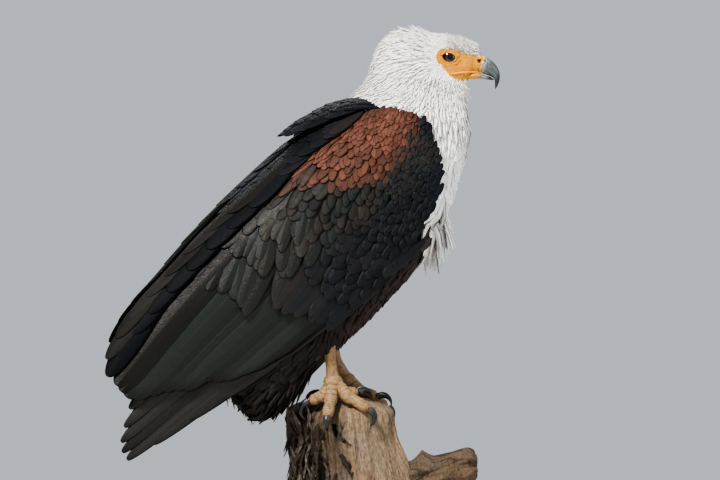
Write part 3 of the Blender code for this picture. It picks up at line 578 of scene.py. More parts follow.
# ------------------------------------------------------------- skin
def real_mesh(source, name, smooth_steps, inward, hem=0.0):
    """One smooth closed mesh round several solids, drawn in by the depth of the coat."""
    bm = bmesh.new()
    for node in sorted(source, key=lambda node: node != "breast"):
        bm.from_mesh(NODES[node].data)
        if node == "breast":
            for vert in bm.verts:
                below = max(0.0, hem - vert.co.z) if vert.co.x > 0.11 else 0.0
                vert.co += Vector((-0.35 * below, 0, 0.85 * below))
    made = bmesh_object(name, bm)
    remesh = made.modifiers.new("remesh", "REMESH")
    remesh.mode, remesh.voxel_size, remesh.use_smooth_shade = "VOXEL", VOXEL, True
    relax = made.modifiers.new("smooth", "SMOOTH")
    relax.iterations, relax.factor = smooth_steps, 0.5
    shrink = made.modifiers.new("shrink", "DISPLACE")
    shrink.strength, shrink.mid_level = -inward, 0.0
    ready = made.evaluated_get(bpy.context.evaluated_depsgraph_get())
    final = bpy.data.meshes.new_from_object(ready)
    made.modifiers.clear()
    made.data = final
    return made


def eye_opening(x, z):
    """1 on the edge of the lids, less inside: an opening with a corner in front and behind."""
    tilt = radians(-12)
    u = x * cos(tilt) + z * sin(tilt)
    v = -x * sin(tilt) + z * cos(tilt)
    reach = 6.0 * np.maximum(0.02, 1 - np.abs(u / 8.6) ** 2.3) ** 0.62
    return np.abs(v) / reach + np.maximum(0, np.abs(u) / 8.6 - 1) * 4


def face_mask(local):
    """Signed distance in millimetres into the bare skin of the face, from points of the head."""
    return inside(FACE_OUTLINE, local[..., 0] / MM, local[..., 2] / MM)


def face_folds(points):
    """Fine folds of the bare skin, finer up and down than along."""
    points = points * (1.0, 1.0, 2.2)
    return ripple(points, 0.0028) + 0.6 * ripple(points, 0.0013, 5.0)


# darker where the folds dip: painted shade in the creases of the bare skin
def fold_shaded(folds):
    return mix(YELLOW, FOLD_SHADE_YELLOW, share(0.5 - 0.7 * folds) * 0.6)


def breast_line(p):
    """Metres in front of the slanting edge between the white breast and the dark belly."""
    return (p[..., 0] - 0.005) * 0.829 + (p[..., 2] - 0.640) * 0.560


def body_tint(p):
    """Colour of the plumage of the head, neck and trunk at points of the body."""
    x, z = p[..., 0], p[..., 2]
    line = breast_line(p) + 0.006 * ripple(p, 0.018)
    white = mix(WHITE, SHADE_WHITE, 0.5 * step(-0.3, 0.6, ripple(p, 0.02, 3.0)))
    rear = step(0.02, -0.09, x) * step(0.42, 0.33, z)
    dark = mix(BELLY, VENT, share(rear + 0.35 * ripple(p, 0.03, 9.0)))
    dark = mix(dark, BLACK, step(0.02, 0.05, (x + 0.10) * ACROSS[0] + (z - 0.46) * ACROSS[2]))
    nape = step(0.016, 0.004, line) * step(0.08, 0.02, x)
    white = mix(white, np.array((0.16, 0.12, 0.10)), 0.85 * nape)
    return mix(dark, white, step(-0.003, 0.003, line))


def refine_skin(skin):
    """Smooths the skin under the hem of the breast and divides the faces of the bare face."""
    bm = bmesh.new()
    bm.from_mesh(skin.data)
    lip = [v for v in bm.verts if 0.066 < v.co.x < 0.135 and 0.450 < v.co.z < 0.492]
    for _ in range(40):
        bmesh.ops.smooth_vert(bm, verts=lip, factor=0.5, use_axis_x=True, use_axis_y=True,
                              use_axis_z=True)
    for _ in range(2):
        near = set()
        for face in bm.faces:
            x, y, z = to_head(np.array(face.calc_center_median()))
            if -0.017 < x < 0.048 and -0.031 < z < 0.016 and abs(y) > 0.007:
                near.update(face.edges)
        bmesh.ops.subdivide_edges(bm, edges=list(near), cuts=1, use_grid_fill=True, smooth=0.6)
    bmesh.ops.triangulate(bm, faces=[f for f in bm.faces if len(f.verts) > 4])
    bm.to_mesh(skin.data)
    bm.free()


def build_skin():
    flesh = ("trunk", "breast", "neck", "head", "bill_cere", "leg_right_thigh", "leg_left_thigh")
    skin = real_mesh(flesh, "skin", 7, 0.0, hem=0.505)
    refine_skin(skin)
    co = read(skin.data.vertices, "co", 3)
    corner = step(0.076, 0.086, co[:, 0]) * step(0.494, 0.480, co[:, 2]) * step(0.440, 0.455, co[:, 2])
    co[:, 1] -= np.sign(co[:, 1]) * corner * np.maximum(0, np.abs(co[:, 1]) - 0.056)
    normals = read(skin.data.vertices, "normal", 3)
    local = to_head(co)
    on_head = (local[:, 0] > -0.03) & (np.abs(local[:, 2]) < 0.045)
    mask = np.where(on_head, face_mask(local), -50)
    x, z = local[:, 0] / MM, local[:, 2] / MM
    depth, side = np.abs(local[:, 1]), np.sign(local[:, 1])
    under = 4.4 * np.maximum(step(2, -2, z), step(15, 7, x))
    bare = step(-1.0 - under, 1.5 - under, mask) * (depth > 0.008)
    forehead = 5.5 * step(1.5, 4, z)
    bare = np.maximum(bare, step(34.5 + forehead, 37 + forehead, x) * on_head)
    ring = np.hypot(x / 12.6, z / 10.6)
    ring_folds = 0.00022 * np.sin(ring * 26) * (ring < 1.5)
    folds = face_folds(local)
    rim = inside(NOSTRIL, x, z)
    pit = step(-0.6, 0.8, rim) * (depth > 0.005) * on_head
    push = bare * (0.00034 * folds * (0.25 + 0.75 * step(38, 22, x)) + ring_folds)
    push += 0.0005 * step(-3.2, -0.6, rim) * (1 - pit)
    push -= 0.0022 * (1 - bare) * (1 - step(33, 39, x) * on_head)
    brow = np.exp(-((z - 9.5 + 0.12 * x) / 2.6) ** 2) * step(-8, 2, x) * step(40, 24, x)
    push += 0.0013 * brow * (depth > 0.008)
    hole = step(1.10, 0.80, eye_opening(x, z)) * (depth > 0.012)
    local = local + (normals @ TURN) * push[:, None]
    local[:, 1] -= side * (0.0060 * hole + 0.0036 * pit)
    co = from_head(local)
    skin.data.vertices.foreach_set("co", co.ravel())
    # paler on the crests and darker in the hollows of the folds: painted highlight and painted shade
    yellow = mix(fold_shaded(folds), np.array((0.74, 0.34, 0.008)), share(folds) * 0.5)
    # painted shade in the hollow of the socket round the eye
    yellow = mix(yellow, np.array((0.05, 0.025, 0.015)), hole)
    yellow = mix(yellow, np.array((0.72, 0.32, 0.004)), 0.55 * step(30, 44, x))
    # dark nostril pit: partly the nostril's own dark red, partly painted shade in the pit
    yellow = mix(yellow, np.array((0.09, 0.010, 0.007)), pit)
    # grey skin under the brow in front of the eye: partly grey bristles, partly painted shade
    shaded = step(2, 9, x) * step(-1, 3, z) * on_head
    tint = mix(body_tint(co), BRISTLE_AND_SHADE_GREY * 0.7, shaded * step(-9, -5, mask))
    paint(skin.data, mix(tint, yellow, bare))
    skin.data.update()
    look = tint_material("skin", 0.42, grain=0.08, grain_size=0.0009, bump=0.00015,
                         Subsurface_Weight=0.12, Subsurface_Scale=0.002)
    return dress(skin, look, "white_plumage", *flesh)


# ------------------------------------------------------------- plumage of head, neck and trunk
def lie(p):
    """Direction in which the plumage lies at points of the body."""
    x, z = p[:, 0], p[:, 2]
    local = to_head(p)
    away = local - np.array((0.052, 0.0, -0.008))
    away[:, 1] *= 0.75
    away[:, 2] -= 0.45 * np.maximum(0, -0.035 - local[:, 0])
    low = step(0.56, 0.42, z)
    neck = unit(np.stack([-0.30 - 0.5 * step(0.10, 0.03, x), 0 * x, -0.90 + 0 * x], -1))
    body = unit(np.stack([-0.30 - 0.42 * low, 0 * x, -0.92 + 0.25 * low], -1))
    way = mix(neck, unit(away) @ TURN.T, step(0.655, 0.705, z))
    way = mix(way, body, step(0.640, 0.580, z))
    on_leg = step(0.385, 0.350, z) * step(-0.075, -0.050, x)
    return unit(mix(way, np.array((-0.12, 0.0, -1.0)), on_leg))


def head_spacing(p):
    local = to_head(p)
    x, y, z = local.T
    from_face = np.hypot(np.maximum(0, np.abs(x / MM - 18) - 22), z / MM + 5)
    gap = 0.00100 + 0.0014 * step(8, 75, from_face) + 0.0026 * step(0.68, 0.61, p[:, 2])
    bare = (face_mask(local) > -0.4) & (np.abs(y) > 0.007)
    bare |= (x > 0.021) & (z < -0.015) & (z > -0.0262)
    bare |= (x > 0.034) & (z < 0)
    return np.where((p[:, 2] > THROAT_END) & (breast_line(p) > -0.008) & ~bare, gap, np.nan)


def head_coat(surface, look):
    roots = surface.scatter(head_spacing, HEAD_TRIES)
    local = to_head(roots)
    x, _, z = local.T
    gap = head_spacing(roots)
    count = len(roots)
    nape = step(-0.045, -0.080, x) * step(-0.055, -0.02, z)
    crown = step(0.018, 0.030, z) * step(0.035, -0.01, x)
    brow = step(0.004, 0.014, x) * step(0.0, 0.010, z)
    throat = step(-0.030, -0.048, z)
    length = (0.0010 + gap) * (4.4 + 1.5 * nape + 1.4 * throat) * RNG.uniform(0.8, 1.2, count)
    half = gap * 1.02 * RNG.uniform(0.8, 1.15, count)
    flare = 0.02 + 0.16 * nape + 0.08 * crown * RNG.random(count) + 0.05 * throat
    flare = flare * RNG.uniform(0.2, 1.5, count)
    lore_shade_and_bristles = step(0.003, 0.014, x) * step(0.0, 0.004, z) * step(8.5, 2.0, -face_mask(local))
    for number, part in enumerate(np.array_split(np.argsort(x), 3), 1):
        part = np.sort(part)

        def tinted(spots, t, _, part=part):
            base = body_tint(spots)
            rough = RNG.random(len(spots))
            # painted shade under the brow: the brow feathers darkened, and the lores greyer, partly
            # their grey bristles and partly painted shade
            base = mix(base, base * 0.6, 0.45 * brow[part] * rough)
            base = mix(base, BRISTLE_AND_SHADE_GREY, lore_shade_and_bristles[part] * (0.35 + 0.6 * rough))
            shade = RNG.uniform(0.93, 1.05, (len(spots), 1, 1, 1))
            # slightly darker toward the root: painted shade under the overlapping feathers
            return base[:, None, None] * shade * (0.97 + 0.04 * step(0.0, 0.45, t))[:, None, None]

        coat = Coat(f"coat_head_{number}", 5, 2)
        lay(coat, surface, roots[part], length[part], half[part], (-0.0009, 0.0005 + 0.20 * gap[part]),
            hackle, tinted, lie, flare[part], thick=0.00022, camber=0.03, jitter=0.13)
        coat.build(look, "white_plumage")


def tufts(surface, look, slot, name, spacing, tries, length, half, flare, way, colour, roll=0.25):
    """Loose feathers that stand out from the coat, such as a crest, bristles or hanging tips."""
    roots = surface.scatter(spacing, tries)
    count = len(roots)
    coat = Coat(name, 8, 2)
    length, half = length * RNG.uniform(0.65, 1.25, count), half * RNG.uniform(0.7, 1.2, count)
    lay(coat, surface, roots, length, half, (-0.0006, 0.0020), hackle, colour, way,
        flare * RNG.uniform(0.4, 1.6, count), thick=0.00025, camber=0.08, jitter=0.16, roll=roll)
    coat.build(look, slot)


def toward(*way):
    return lambda p: unit(np.array(way) + 0 * p)


def loose_white(dark, part):
    def colour(spots, t, _):
        base = body_tint(spots)
        tips = mix(base, dark, part * RNG.random(len(spots)))
        return mix(base[:, None, None], tips[:, None, None], step(0.35, 1.0, t)[None, :, None])
    return colour


def head_tufts(surface, look):
    """Shaggy crest of the nape and crown, bristles of the brow and feathers hanging from the chin."""
    def crest(p):
        x, _, z = to_head(p).T
        where = (x < -0.015) & (z > -0.030 - 0.4 * x - 0.012) & (p[:, 2] > 0.665)
        return np.where(where, 0.0034 + 0.0015 * step(-0.03, -0.08, x), np.nan)

    def brow(p):
        x, _, z = to_head(p).T
        where = (x > 0.004) & (x < 0.040) & (z > 0.011)
        return np.where(where | (x > 0.026) & (x < 0.0415) & (z > 0.0032), 0.0021, np.nan)

    def chin(p):
        x, _, z = to_head(p).T
        return np.where((z < -0.0270) & (x > -0.012) & (x < 0.033) & (z > -0.046), 0.0021, np.nan)

    def cheek(p):
        local = to_head(p)
        x, _, z = local.T
        where = (z < -0.020) & (z > -0.075) & (x > -0.055) & (x < 0.016)
        return np.where(where & (face_mask(local) < -2), 0.0052, np.nan)

    def backward(p):
        x, y, _ = to_head(p).T
        way = np.stack([-1.0 + 0 * x, 0.2 * np.sign(y), 0.10 - 8 * np.maximum(0, -0.05 - x)], -1)
        return unit(way) @ TURN.T

    def down(p):
        return toward(-0.75, 0.0, -0.66)(p) @ TURN.T

    for name, where, tries, length, half, flare, way, dark, part in (
            ("coat_crest", crest, 12000, 0.020, 0.0021, 0.17, lie, SHADE_WHITE, 0.6),
            ("coat_brow", brow, 9000, 0.0095, 0.0009, 0.20, backward, BRISTLE_AND_SHADE_GREY, 0.95),
            ("coat_chin", chin, 7000, 0.0120, 0.0012, 0.32, down, SHADE_WHITE, 0.7),
            ("coat_cheek", cheek, 5000, 0.019, 0.0017, 0.14, lie, SHADE_WHITE, 0.8)):
        tufts(surface, look, "white_plumage", name, where, tries, length, half, flare, way,
              loose_white(dark, part))


def hanging_tufts(surface, white_look, dark_look):
    """Long loose feathers that hang from the lower breast, the flanks and the vent."""
    def breast_hem(p):
        line = breast_line(p)
        where = (line > -0.002) & (line < 0.036) & (p[:, 2] > 0.485) & (p[:, 2] < 0.550)
        return np.where(where & (np.abs(p[:, 1]) < 0.068), 0.0050, np.nan)

    def under(p):
        where = (p[:, 2] < 0.375) & (p[:, 0] < -0.045) & (np.abs(p[:, 1]) < 0.036)
        return np.where(where, 0.0052, np.nan)

    def hem_colour(spots, t, _):
        dark = np.where(RNG.random(len(spots)) < 0.25, 1.0, 0.0) * RNG.uniform(0.4, 0.9, len(spots))
        tone = mix(WHITE, BELLY * 2.2 + 0.03, dark)
        return mix(WHITE, tone[:, None, None], step(0.1, 0.8, t)[None, :, None])

    def dark_colour(spots, t, _):
        return VENT * RNG.uniform(0.7, 1.5, (len(spots), 1, 1, 1))

    tufts(surface, white_look, "white_plumage", "coat_breast_hem", breast_hem, 7000, 0.060, 0.0048, 0.30,
          toward(0.10, 0.0, -1.0), hem_colour, roll=0.40)
    tufts(surface, dark_look, "belly_plumage", "coat_vent", under, 5000, 0.046, 0.0034, 0.20,
          toward(-0.62, 0.0, -0.80), dark_colour, roll=0.35)


def trunk_spacing(p):
    x, _, z = p.T
    line = breast_line(p)
    a, rise = (p - BEND) @ ALONG / MM, (p - BEND) @ ACROSS / MM
    hidden = (z > THROAT_END + 0.004) & (line > -0.008)
    hidden |= z < 0.338 - 0.10 * step(-0.05, -0.07, x)
    hidden |= (line > -0.034) & (line < -0.004) & (x > 0.070) & (z < 0.52)
    lower = rise_of_share(a, curve(a, WING_LOWER))
    hidden |= (rise > lower + 1) & (a > 10) & (a < 440) & (np.abs(p[:, 1]) > 0.028)
    return np.where(hidden, np.nan, 0.0064 - 0.0018 * step(0.36, 0.33, z))


def trunk_coat(surface, look):
    roots = surface.scatter(trunk_spacing, TRUNK_TRIES)
    x, y, z = roots.T
    count = len(roots)
    line = breast_line(roots)
    fringe = step(0.03, 0.002, line) * step(-0.012, -0.002, line) * step(0.06, 0.09, x)
    vent = step(0.40, 0.34, z) * step(-0.02, -0.06, x)
    leg = step(0.375, 0.355, z) * step(-0.07, -0.05, x)
    length = (0.034 + 0.012 * fringe + 0.012 * vent - 0.012 * leg) * RNG.uniform(0.82, 1.18, count)
    half = (0.0062 - 0.0022 * leg) * RNG.uniform(0.85, 1.15, count)
    middle = step(0.040, 0.028, np.abs(y))
    flare = (0.02 + 0.12 * vent * middle) * RNG.uniform(0.2, 1.6, count)

    def tinted(spots, t, _):
        base = body_tint(spots)[:, None, None]
        shade = RNG.uniform(0.80, 1.16, (len(spots), 1, 1, 1))
        # darker toward the root: painted shade under the feathers that overlap it
        return base * shade * (0.70 + 0.34 * step(0.1, 0.6, t))[:, None, None]

    order = np.argsort(x * ALONG[0] + z * ALONG[2])
    for name, slot, part in zip(("coat_breast", "coat_belly"), ("white_plumage", "belly_plumage"),
                                np.array_split(order, 2)):
        coat = Coat(name, 6, 4)
        lay(coat, surface, roots[part], length[part], half[part], (0.0004, 0.0026),
            taper(0.4, 0.12, 0.6, 2.5), tinted, lie, flare[part], thick=0.0005, camber=0.25,
            jitter=0.10, sag=0.02)
        coat.build(look, slot)


# ------------------------------------------------------------- wings
A_GRID = np.arange(-60.0, 601.0, 10.0)
S_GRID = np.linspace(-1, 1, 401)
Q_GRID = np.arange(-230.0, 231.0, 2.0)


def shell_height(a, positive):
    return np.where(positive, curve(a, SHELL_RIDGE), UNDERSIDE)


def cross_section():
    """Tables of the distance round the shell for each share of it, and the other way round."""
    angle = np.abs(S_GRID) * pi / 2
    rise = shell_height(A_GRID[:, None], S_GRID >= 0) * np.sin(angle) ** SHELL_POWER * np.sign(S_GRID)
    out = curve(A_GRID, SHELL_WIDTH)[:, None] * np.maximum(np.cos(angle), 0) ** SHELL_POWER
    arc = np.zeros_like(rise)
    arc[:, 1:] = np.cumsum(np.hypot(np.diff(rise, axis=1), np.diff(out, axis=1)), 1)
    arc -= arc[:, [len(S_GRID) // 2]]
    return arc, np.stack([np.interp(Q_GRID, row, S_GRID) for row in arc])


ARC, SHARES = cross_section()


def sample(table, axis, a, b):
    """Value of a table between its places a along the wing and b on its second axis."""
    (u, i), (v, j) = ((w, w.astype(int)) for w in (
        np.clip((value - grid[0]) / (grid[1] - grid[0]), 0, len(grid) - 1.001)
        for value, grid in ((a, A_GRID), (b, axis))))
    fu, fv = u - i, v - j
    return ((table[i, j] * (1 - fv) + table[i, j + 1] * fv) * (1 - fu)
            + (table[i + 1, j] * (1 - fv) + table[i + 1, j + 1] * fv) * fu)


def arc_at(a, part):
    return sample(ARC, S_GRID, *np.broadcast_arrays(np.asarray(a, float), np.asarray(part, float)))


def arc_of_rise(a, rise):
    """Distance round the shell at a height across the body's plane, from its widest line."""
    part = np.arcsin(share(np.abs(rise) / shell_height(a, rise >= 0)) ** 1.2) / (pi / 2)
    return arc_at(a, np.sign(rise) * part)


def rise_of_share(a, part):
    return shell_height(a, part >= 0) * np.sin(np.abs(part) * pi / 2) ** SHELL_POWER * np.sign(part)


def rise_of_arc(a, arc):
    return rise_of_share(a, sample(SHARES, Q_GRID, a, arc))


def body_point(a, rise, out):
    """Points from millimetres along the back, across it and aside."""
    return (BEND + ALONG * (a * MM)[..., None] + ACROSS * (rise * MM)[..., None]
            + ASIDE * (out * MM)[..., None])


def shell(a, arc, height, side, fold):
    """Points on the folded wing's shell; a, arc and height over it in millimetres."""
    a = a * fold
    part = sample(SHARES, Q_GRID, a, arc)
    angle = np.abs(part) * pi / 2
    rise = (shell_height(a, part >= 0) + height) * np.sin(angle) ** SHELL_POWER * np.sign(part)
    out = (curve(a, SHELL_WIDTH) + height) * np.maximum(np.cos(angle), 0) ** SHELL_POWER
    return body_point(a, rise, side * out)


def lay_mapped(coat, shape, flip, start, heading, length, half, height, profile, colour, bend=0.0,
               thick=0.6, camber=0.0, lift=0.0, skew=0.0):
    """Lays feathers on a mapped surface; shape(a, q, height) gives its points in millimetres.

    start is (a, q) pairs and heading the angle in radians from the first direction to the second.
    """
    count = len(start)
    t = tip_dense(coat.rows)[None]
    heading, length, bend, half, lift, low, high = (
        np.broadcast_to(v, count)[:, None] for v in (heading, length, bend, half, lift, *height))
    turn = heading + bend * t
    a = start[:, 0, None] + length * (t * np.cos(heading) - 0.5 * bend * t * t * np.sin(heading))
    q = start[:, 1, None] + length * (t * np.sin(heading) + 0.5 * bend * t * t * np.cos(heading))
    width = half * profile(t[0])[None]
    x = coat.across * (1 + skew * (1 - np.abs(coat.across)))
    rise = low + (high - low) * t ** 0.8 + lift * t ** 3
    off = width[..., None] * x
    across_a = a[..., None] - off * np.sin(turn)[..., None]
    across_q = q[..., None] + off * np.cos(turn)[..., None]
    crown = rise[..., None] - camber * width[..., None] * (x ** 2)
    body = 0.5 * thick * (1 - coat.across ** 2)
    vane = np.stack(np.broadcast_arrays(off * MM, (length * t * MM)[..., None]), -1)
    uv = np.stack([(start[:, 0] + 70) / 700, (start[:, 1] + 240) / 480], -1) * 0.96 + 0.02
    ready = (shape(across_a, across_q, crown + body), shape(across_a, across_q, crown - body),
             colour(across_a, across_q, t[0], coat.across), vane)
    top, under, tint, vane = (v[:, :, ::-1] if flip else v for v in ready)
    coat.add(top, under, tint, uv, vane)


def lay_wing(coat, side, fold, *values, **options):
    lay_mapped(coat, lambda a, q, height: shell(a, q, height, side, fold), side > 0, *values, **options)


def roots_before(tip_a, tip_q, reach, heading):
    return np.stack([tip_a - reach * np.cos(heading), tip_q - reach * np.sin(heading)], -1)


def wing_tint(a, arc):
    """Base colour of the folded wing over its shell, with painted shade on its front and the painted
    shadow of the tertials.
    """
    rise = rise_of_arc(a, arc)
    spot = np.stack([a, rise, 0 * a], -1)
    middle = step(330, 210, a) * step(-70, -10, rise) * step(-4, 24, a)
    base = mix(SLATE, BROWN, share(0.25 + 1.3 * ripple(spot, 24.0)) * middle)
    base = mix(base, OLIVE, 0.45 * step(250, 330, a))
    base = mix(base, OLIVE, share(1.6 * ripple(spot, 19.0, 7.0) - 0.1) * middle)
    # painted shade: the front and the lower front of the wing, turned away from the light, in dark navy
    base = mix(base, SHADE_NAVY, step(4, -30, rise - 0.12 * a) * step(330, 200, a))
    base = mix(base, SHADE_NAVY, step(4, -12, a))
    patch = inside(CHESTNUT_OUTLINE, a, rise) + 10 * ripple(spot, 13.0, 4.0)
    patch = patch + RNG.normal(0, 3.0, np.shape(a))
    base = mix(base, mix(BROWN, CHESTNUT, 0.45), step(-15, -3, patch))
    bright = mix(CHESTNUT * 0.72, CHESTNUT * 1.10, step(-0.3, 0.4, ripple(spot, 11.0, 2.0)))
    # painted shadow that the tertials cast on the feathers below them
    hollow = step(-4, 6, rise - curve(a, TERTIAL_SHADOW)) * step(235, 285, a)
    return mix(base, bright, step(-4, 5, patch)) * (1 - 0.80 * hollow)[..., None]


def rim(t, x, across, along):
    """1 on the sides and the tip of a feather, growing from those shares of its half and length."""
    return np.maximum(step(across, 1.0, np.abs(x))[None, :], step(along, 1.0, t)[:, None])


def feather_colour(spread, edge=-0.15, root_shade=0.0, gain=1.0, hue=0.0, rim_start=0.70):
    """Colours a feather as one, from the wing's colour at its middle, with painted shade toward its
    root.
    """
    def colour(a, arc, t, x):
        a, arc = (v[:, v.shape[1] // 2, v.shape[2] // 2] for v in (a, arc))
        base = wing_tint(a, arc) * gain
        other = BROWN + (OLIVE - BROWN) * RNG.random((len(base), 1))
        base = mix(base, other * gain, hue * RNG.random(len(base)) * step(30, 110, a))
        shade = np.exp(RNG.normal(0, spread, len(base)))[:, None, None, None]
        # painted shade toward the root, under the feather before it; the rim is darker as painted shade
        # between feathers when edge is above 0, paler when below
        dark = (1 - edge * rim(t, x, rim_start, 0.88)) * (1 - root_shade * step(0.72, 0.25, t))[:, None]
        return base[:, None, None] * shade * dark[None, :, :, None]
    return colour


def plain_colour(tone, spread, edge):
    def colour(a, arc, t, x):
        shade = RNG.normal(1, spread, (len(a), 1, 1, 1))
        # the rim is darker as painted shade between feathers when edge is above 0, paler when below
        return tone * shade * (1 - edge * rim(t, x, 0.75, 0.92))[None, :, :, None]
    return colour


def scapular_colour(a, arc, t, x):
    """Black scapulars, browner toward the chestnut patch."""
    rise = rise_of_arc(a[:, -1, 0], arc[:, -1, 0])
    base = mix(mix(BLACK, BROWN, 0.55), BLACK * 1.2, step(92, 108, rise))
    shade = np.exp(RNG.normal(0, 0.25, len(base)))[:, None, None, None]
    return base[:, None, None] * shade * (1 + 0.25 * rim(t, x, 0.70, 0.88))[None, :, :, None]


def covert_heading(a, rise):
    """Coverts on the middle of the wing point down toward its lower edge."""
    mid = np.exp(-((rise - 42) / 46) ** 2)
    return -radians(30) * mid * step(330, 230, a) + radians(2) * step(90, 118, rise)


def lesser_coverts(coat, side, fold):
    """Small feathers of the shoulder, growing toward the rear, in rough rows."""
    starts, sizes = [], []
    a, odd = -18.0, 0
    while a < 196:
        pitch = 5.6 + 9.4 * float(step(0, 235, a))
        low = float(arc_at(a, curve(a, WING_LOWER))) + 2
        high = float(arc_at(a, 0.98))
        if a <= 70:
            high = float(arc_at(a, curve(a, WING_UPPER) - 0.11 * step(60, 20, a))) - 5
        count = max(2, int((high - low) / (pitch * 0.86)))
        places = low + (np.arange(count) + 0.5 + 0.5 * (odd % 2)) * (high - low) / count
        starts += [(a + RNG.normal(0, 0.26 * pitch), q + RNG.normal(0, 0.15 * pitch)) for q in places]
        sizes += [pitch] * count
        a, odd = a + pitch * 1.02, odd + 1
    starts, sizes = np.array(starts), np.array(sizes)
    count = len(starts)
    rise = rise_of_arc(starts[:, 0], starts[:, 1])
    starts[:, 0] -= sizes * 0.6 * step(-15, 20, starts[:, 0])
    a = starts[:, 0]
    heading = covert_heading(a, rise) + RNG.normal(0, 0.13, count)
    ridge = step(84, 104, rise)
    reach = sizes * 2.7 * (1 + 0.55 * ridge) * RNG.uniform(0.8, 1.25, count)
    half = sizes * 0.72 / (1 + 0.6 * ridge) * RNG.uniform(0.85, 1.12, count)
    front, rear = step(6, -16, a), step(20, 110, a)
    lay_wing(coat, side, fold, starts, heading, reach, half,
             (-1.9 - 1.2 * rear - 6.0 * front, -0.3 - 1.5 * front), taper(0.45, 0.10, 0.42, 2.2),
             feather_colour(0.14, edge=0.05, root_shade=0.20, hue=0.3), thick=0.30, camber=0.03,
             lift=(0.1 + 1.1 * RNG.random(count) ** 3) * (0.1 + 0.9 * rear),
             bend=RNG.normal(0, 0.10, count))


def greater_coverts(coat, side, fold):
    """Rows of long rounded coverts over the roots of the secondaries, of uneven reach."""
    count = 21
    for row, (shift, reach, half) in enumerate(((0, 120, 13.0), (-52, 98, 12.0), (-96, 76, 10.5))):
        place_at = np.linspace(0, 1, count) + RNG.uniform(-0.012, 0.012, count)
        tip_a = curve(place_at, ((0, 262), (0.25, 285), (0.5, 316), (0.75, 342), (1, 346))) + shift
        tip_a = tip_a + RNG.normal(0, 7.5, count)
        tip_rise = curve(place_at, ((0, -72), (0.25, -30), (0.5, 16), (0.75, 58), (1, 96)))
        heading = -radians(34) * np.exp(-((tip_rise - 40) / 42) ** 2) + RNG.normal(0, 0.07, count)
        start = roots_before(tip_a, arc_of_rise(tip_a, tip_rise), reach, heading)
        base = -3.2 + 0.8 * row + 0.05 * np.arange(count)
        lay_wing(coat, side, fold, start, heading, reach, half * RNG.uniform(0.9, 1.15, count),
                 (base - 2.0, base + 0.9), taper(0.55, 0.08, 0.62, 2.1),
                 feather_colour(0.17, root_shade=0.35, gain=0.88, hue=0.35),
                 bend=radians(-5) + RNG.normal(0, 0.07, count), thick=0.6, camber=0.09,
                 lift=1.4 * RNG.random(count) ** 2)


def secondaries(coat, side, fold):
    """Long feathers whose tips step down the rear edge; the inner ones lie on top."""
    tips = ((0, 300, -66), (0.16, 345, -60), (0.33, 392, -44), (0.5, 432, -20), (0.68, 474, 6),
            (0.85, 508, 30), (1, 516, 52))
    count = 17
    place_at = np.linspace(0, 1, count)
    tip_a, tip_rise = (curve(place_at, np.array(tips)[:, (0, c)]) for c in (1, 2))
    tip_a = tip_a + RNG.normal(0, 4.5, count)
    heading = np.radians(curve(place_at, ((0, 6), (0.4, 3), (0.7, -3), (1, -8))))
    reach = curve(place_at, ((0, 190), (0.5, 235), (1, 245)))
    start = roots_before(tip_a, arc_of_rise(tip_a, tip_rise) + 7, reach, heading)
    base = -14.5 + 0.88 * np.arange(count)
    lay_wing(coat, side, fold, start, heading, reach, 19.0, (base - 1.5, base + 0.6),
             taper(0.5, 0.10, 0.80, 1.9),
             feather_colour(0.18, edge=0.60, gain=0.90, hue=0.25, rim_start=0.50),
             bend=radians(-2.5), thick=0.8, camber=0.10)


def primaries(coat, side, fold):
    tips = np.array(((420, -60), (468, -50), (522, -40), (561, -30), (560, -17), (553, -5), (538, 8),
                     (517, 22)), float)
    place_at = np.linspace(0, 1, len(tips))
    heading = np.radians(curve(place_at, ((0, 9), (0.5, 4), (1, -2))))
    reach = curve(place_at, ((0, 200), (0.4, 270), (1, 240)))
    start = roots_before(tips[:, 0], arc_of_rise(tips[:, 0], tips[:, 1]) + 5, reach, heading)
    base = -17.5 + 0.75 * np.arange(len(tips))
    lay_wing(coat, side, fold, start, heading, reach, 15.0, (base, base + 2.5),
             taper(0.6, 0.10, 0.50, 1.7), plain_colour(mix(SLATE, BROWN, 0.35) * 1.1, 0.24, 0.60),
             bend=radians(-3), thick=0.8, camber=0.08, skew=-0.15)


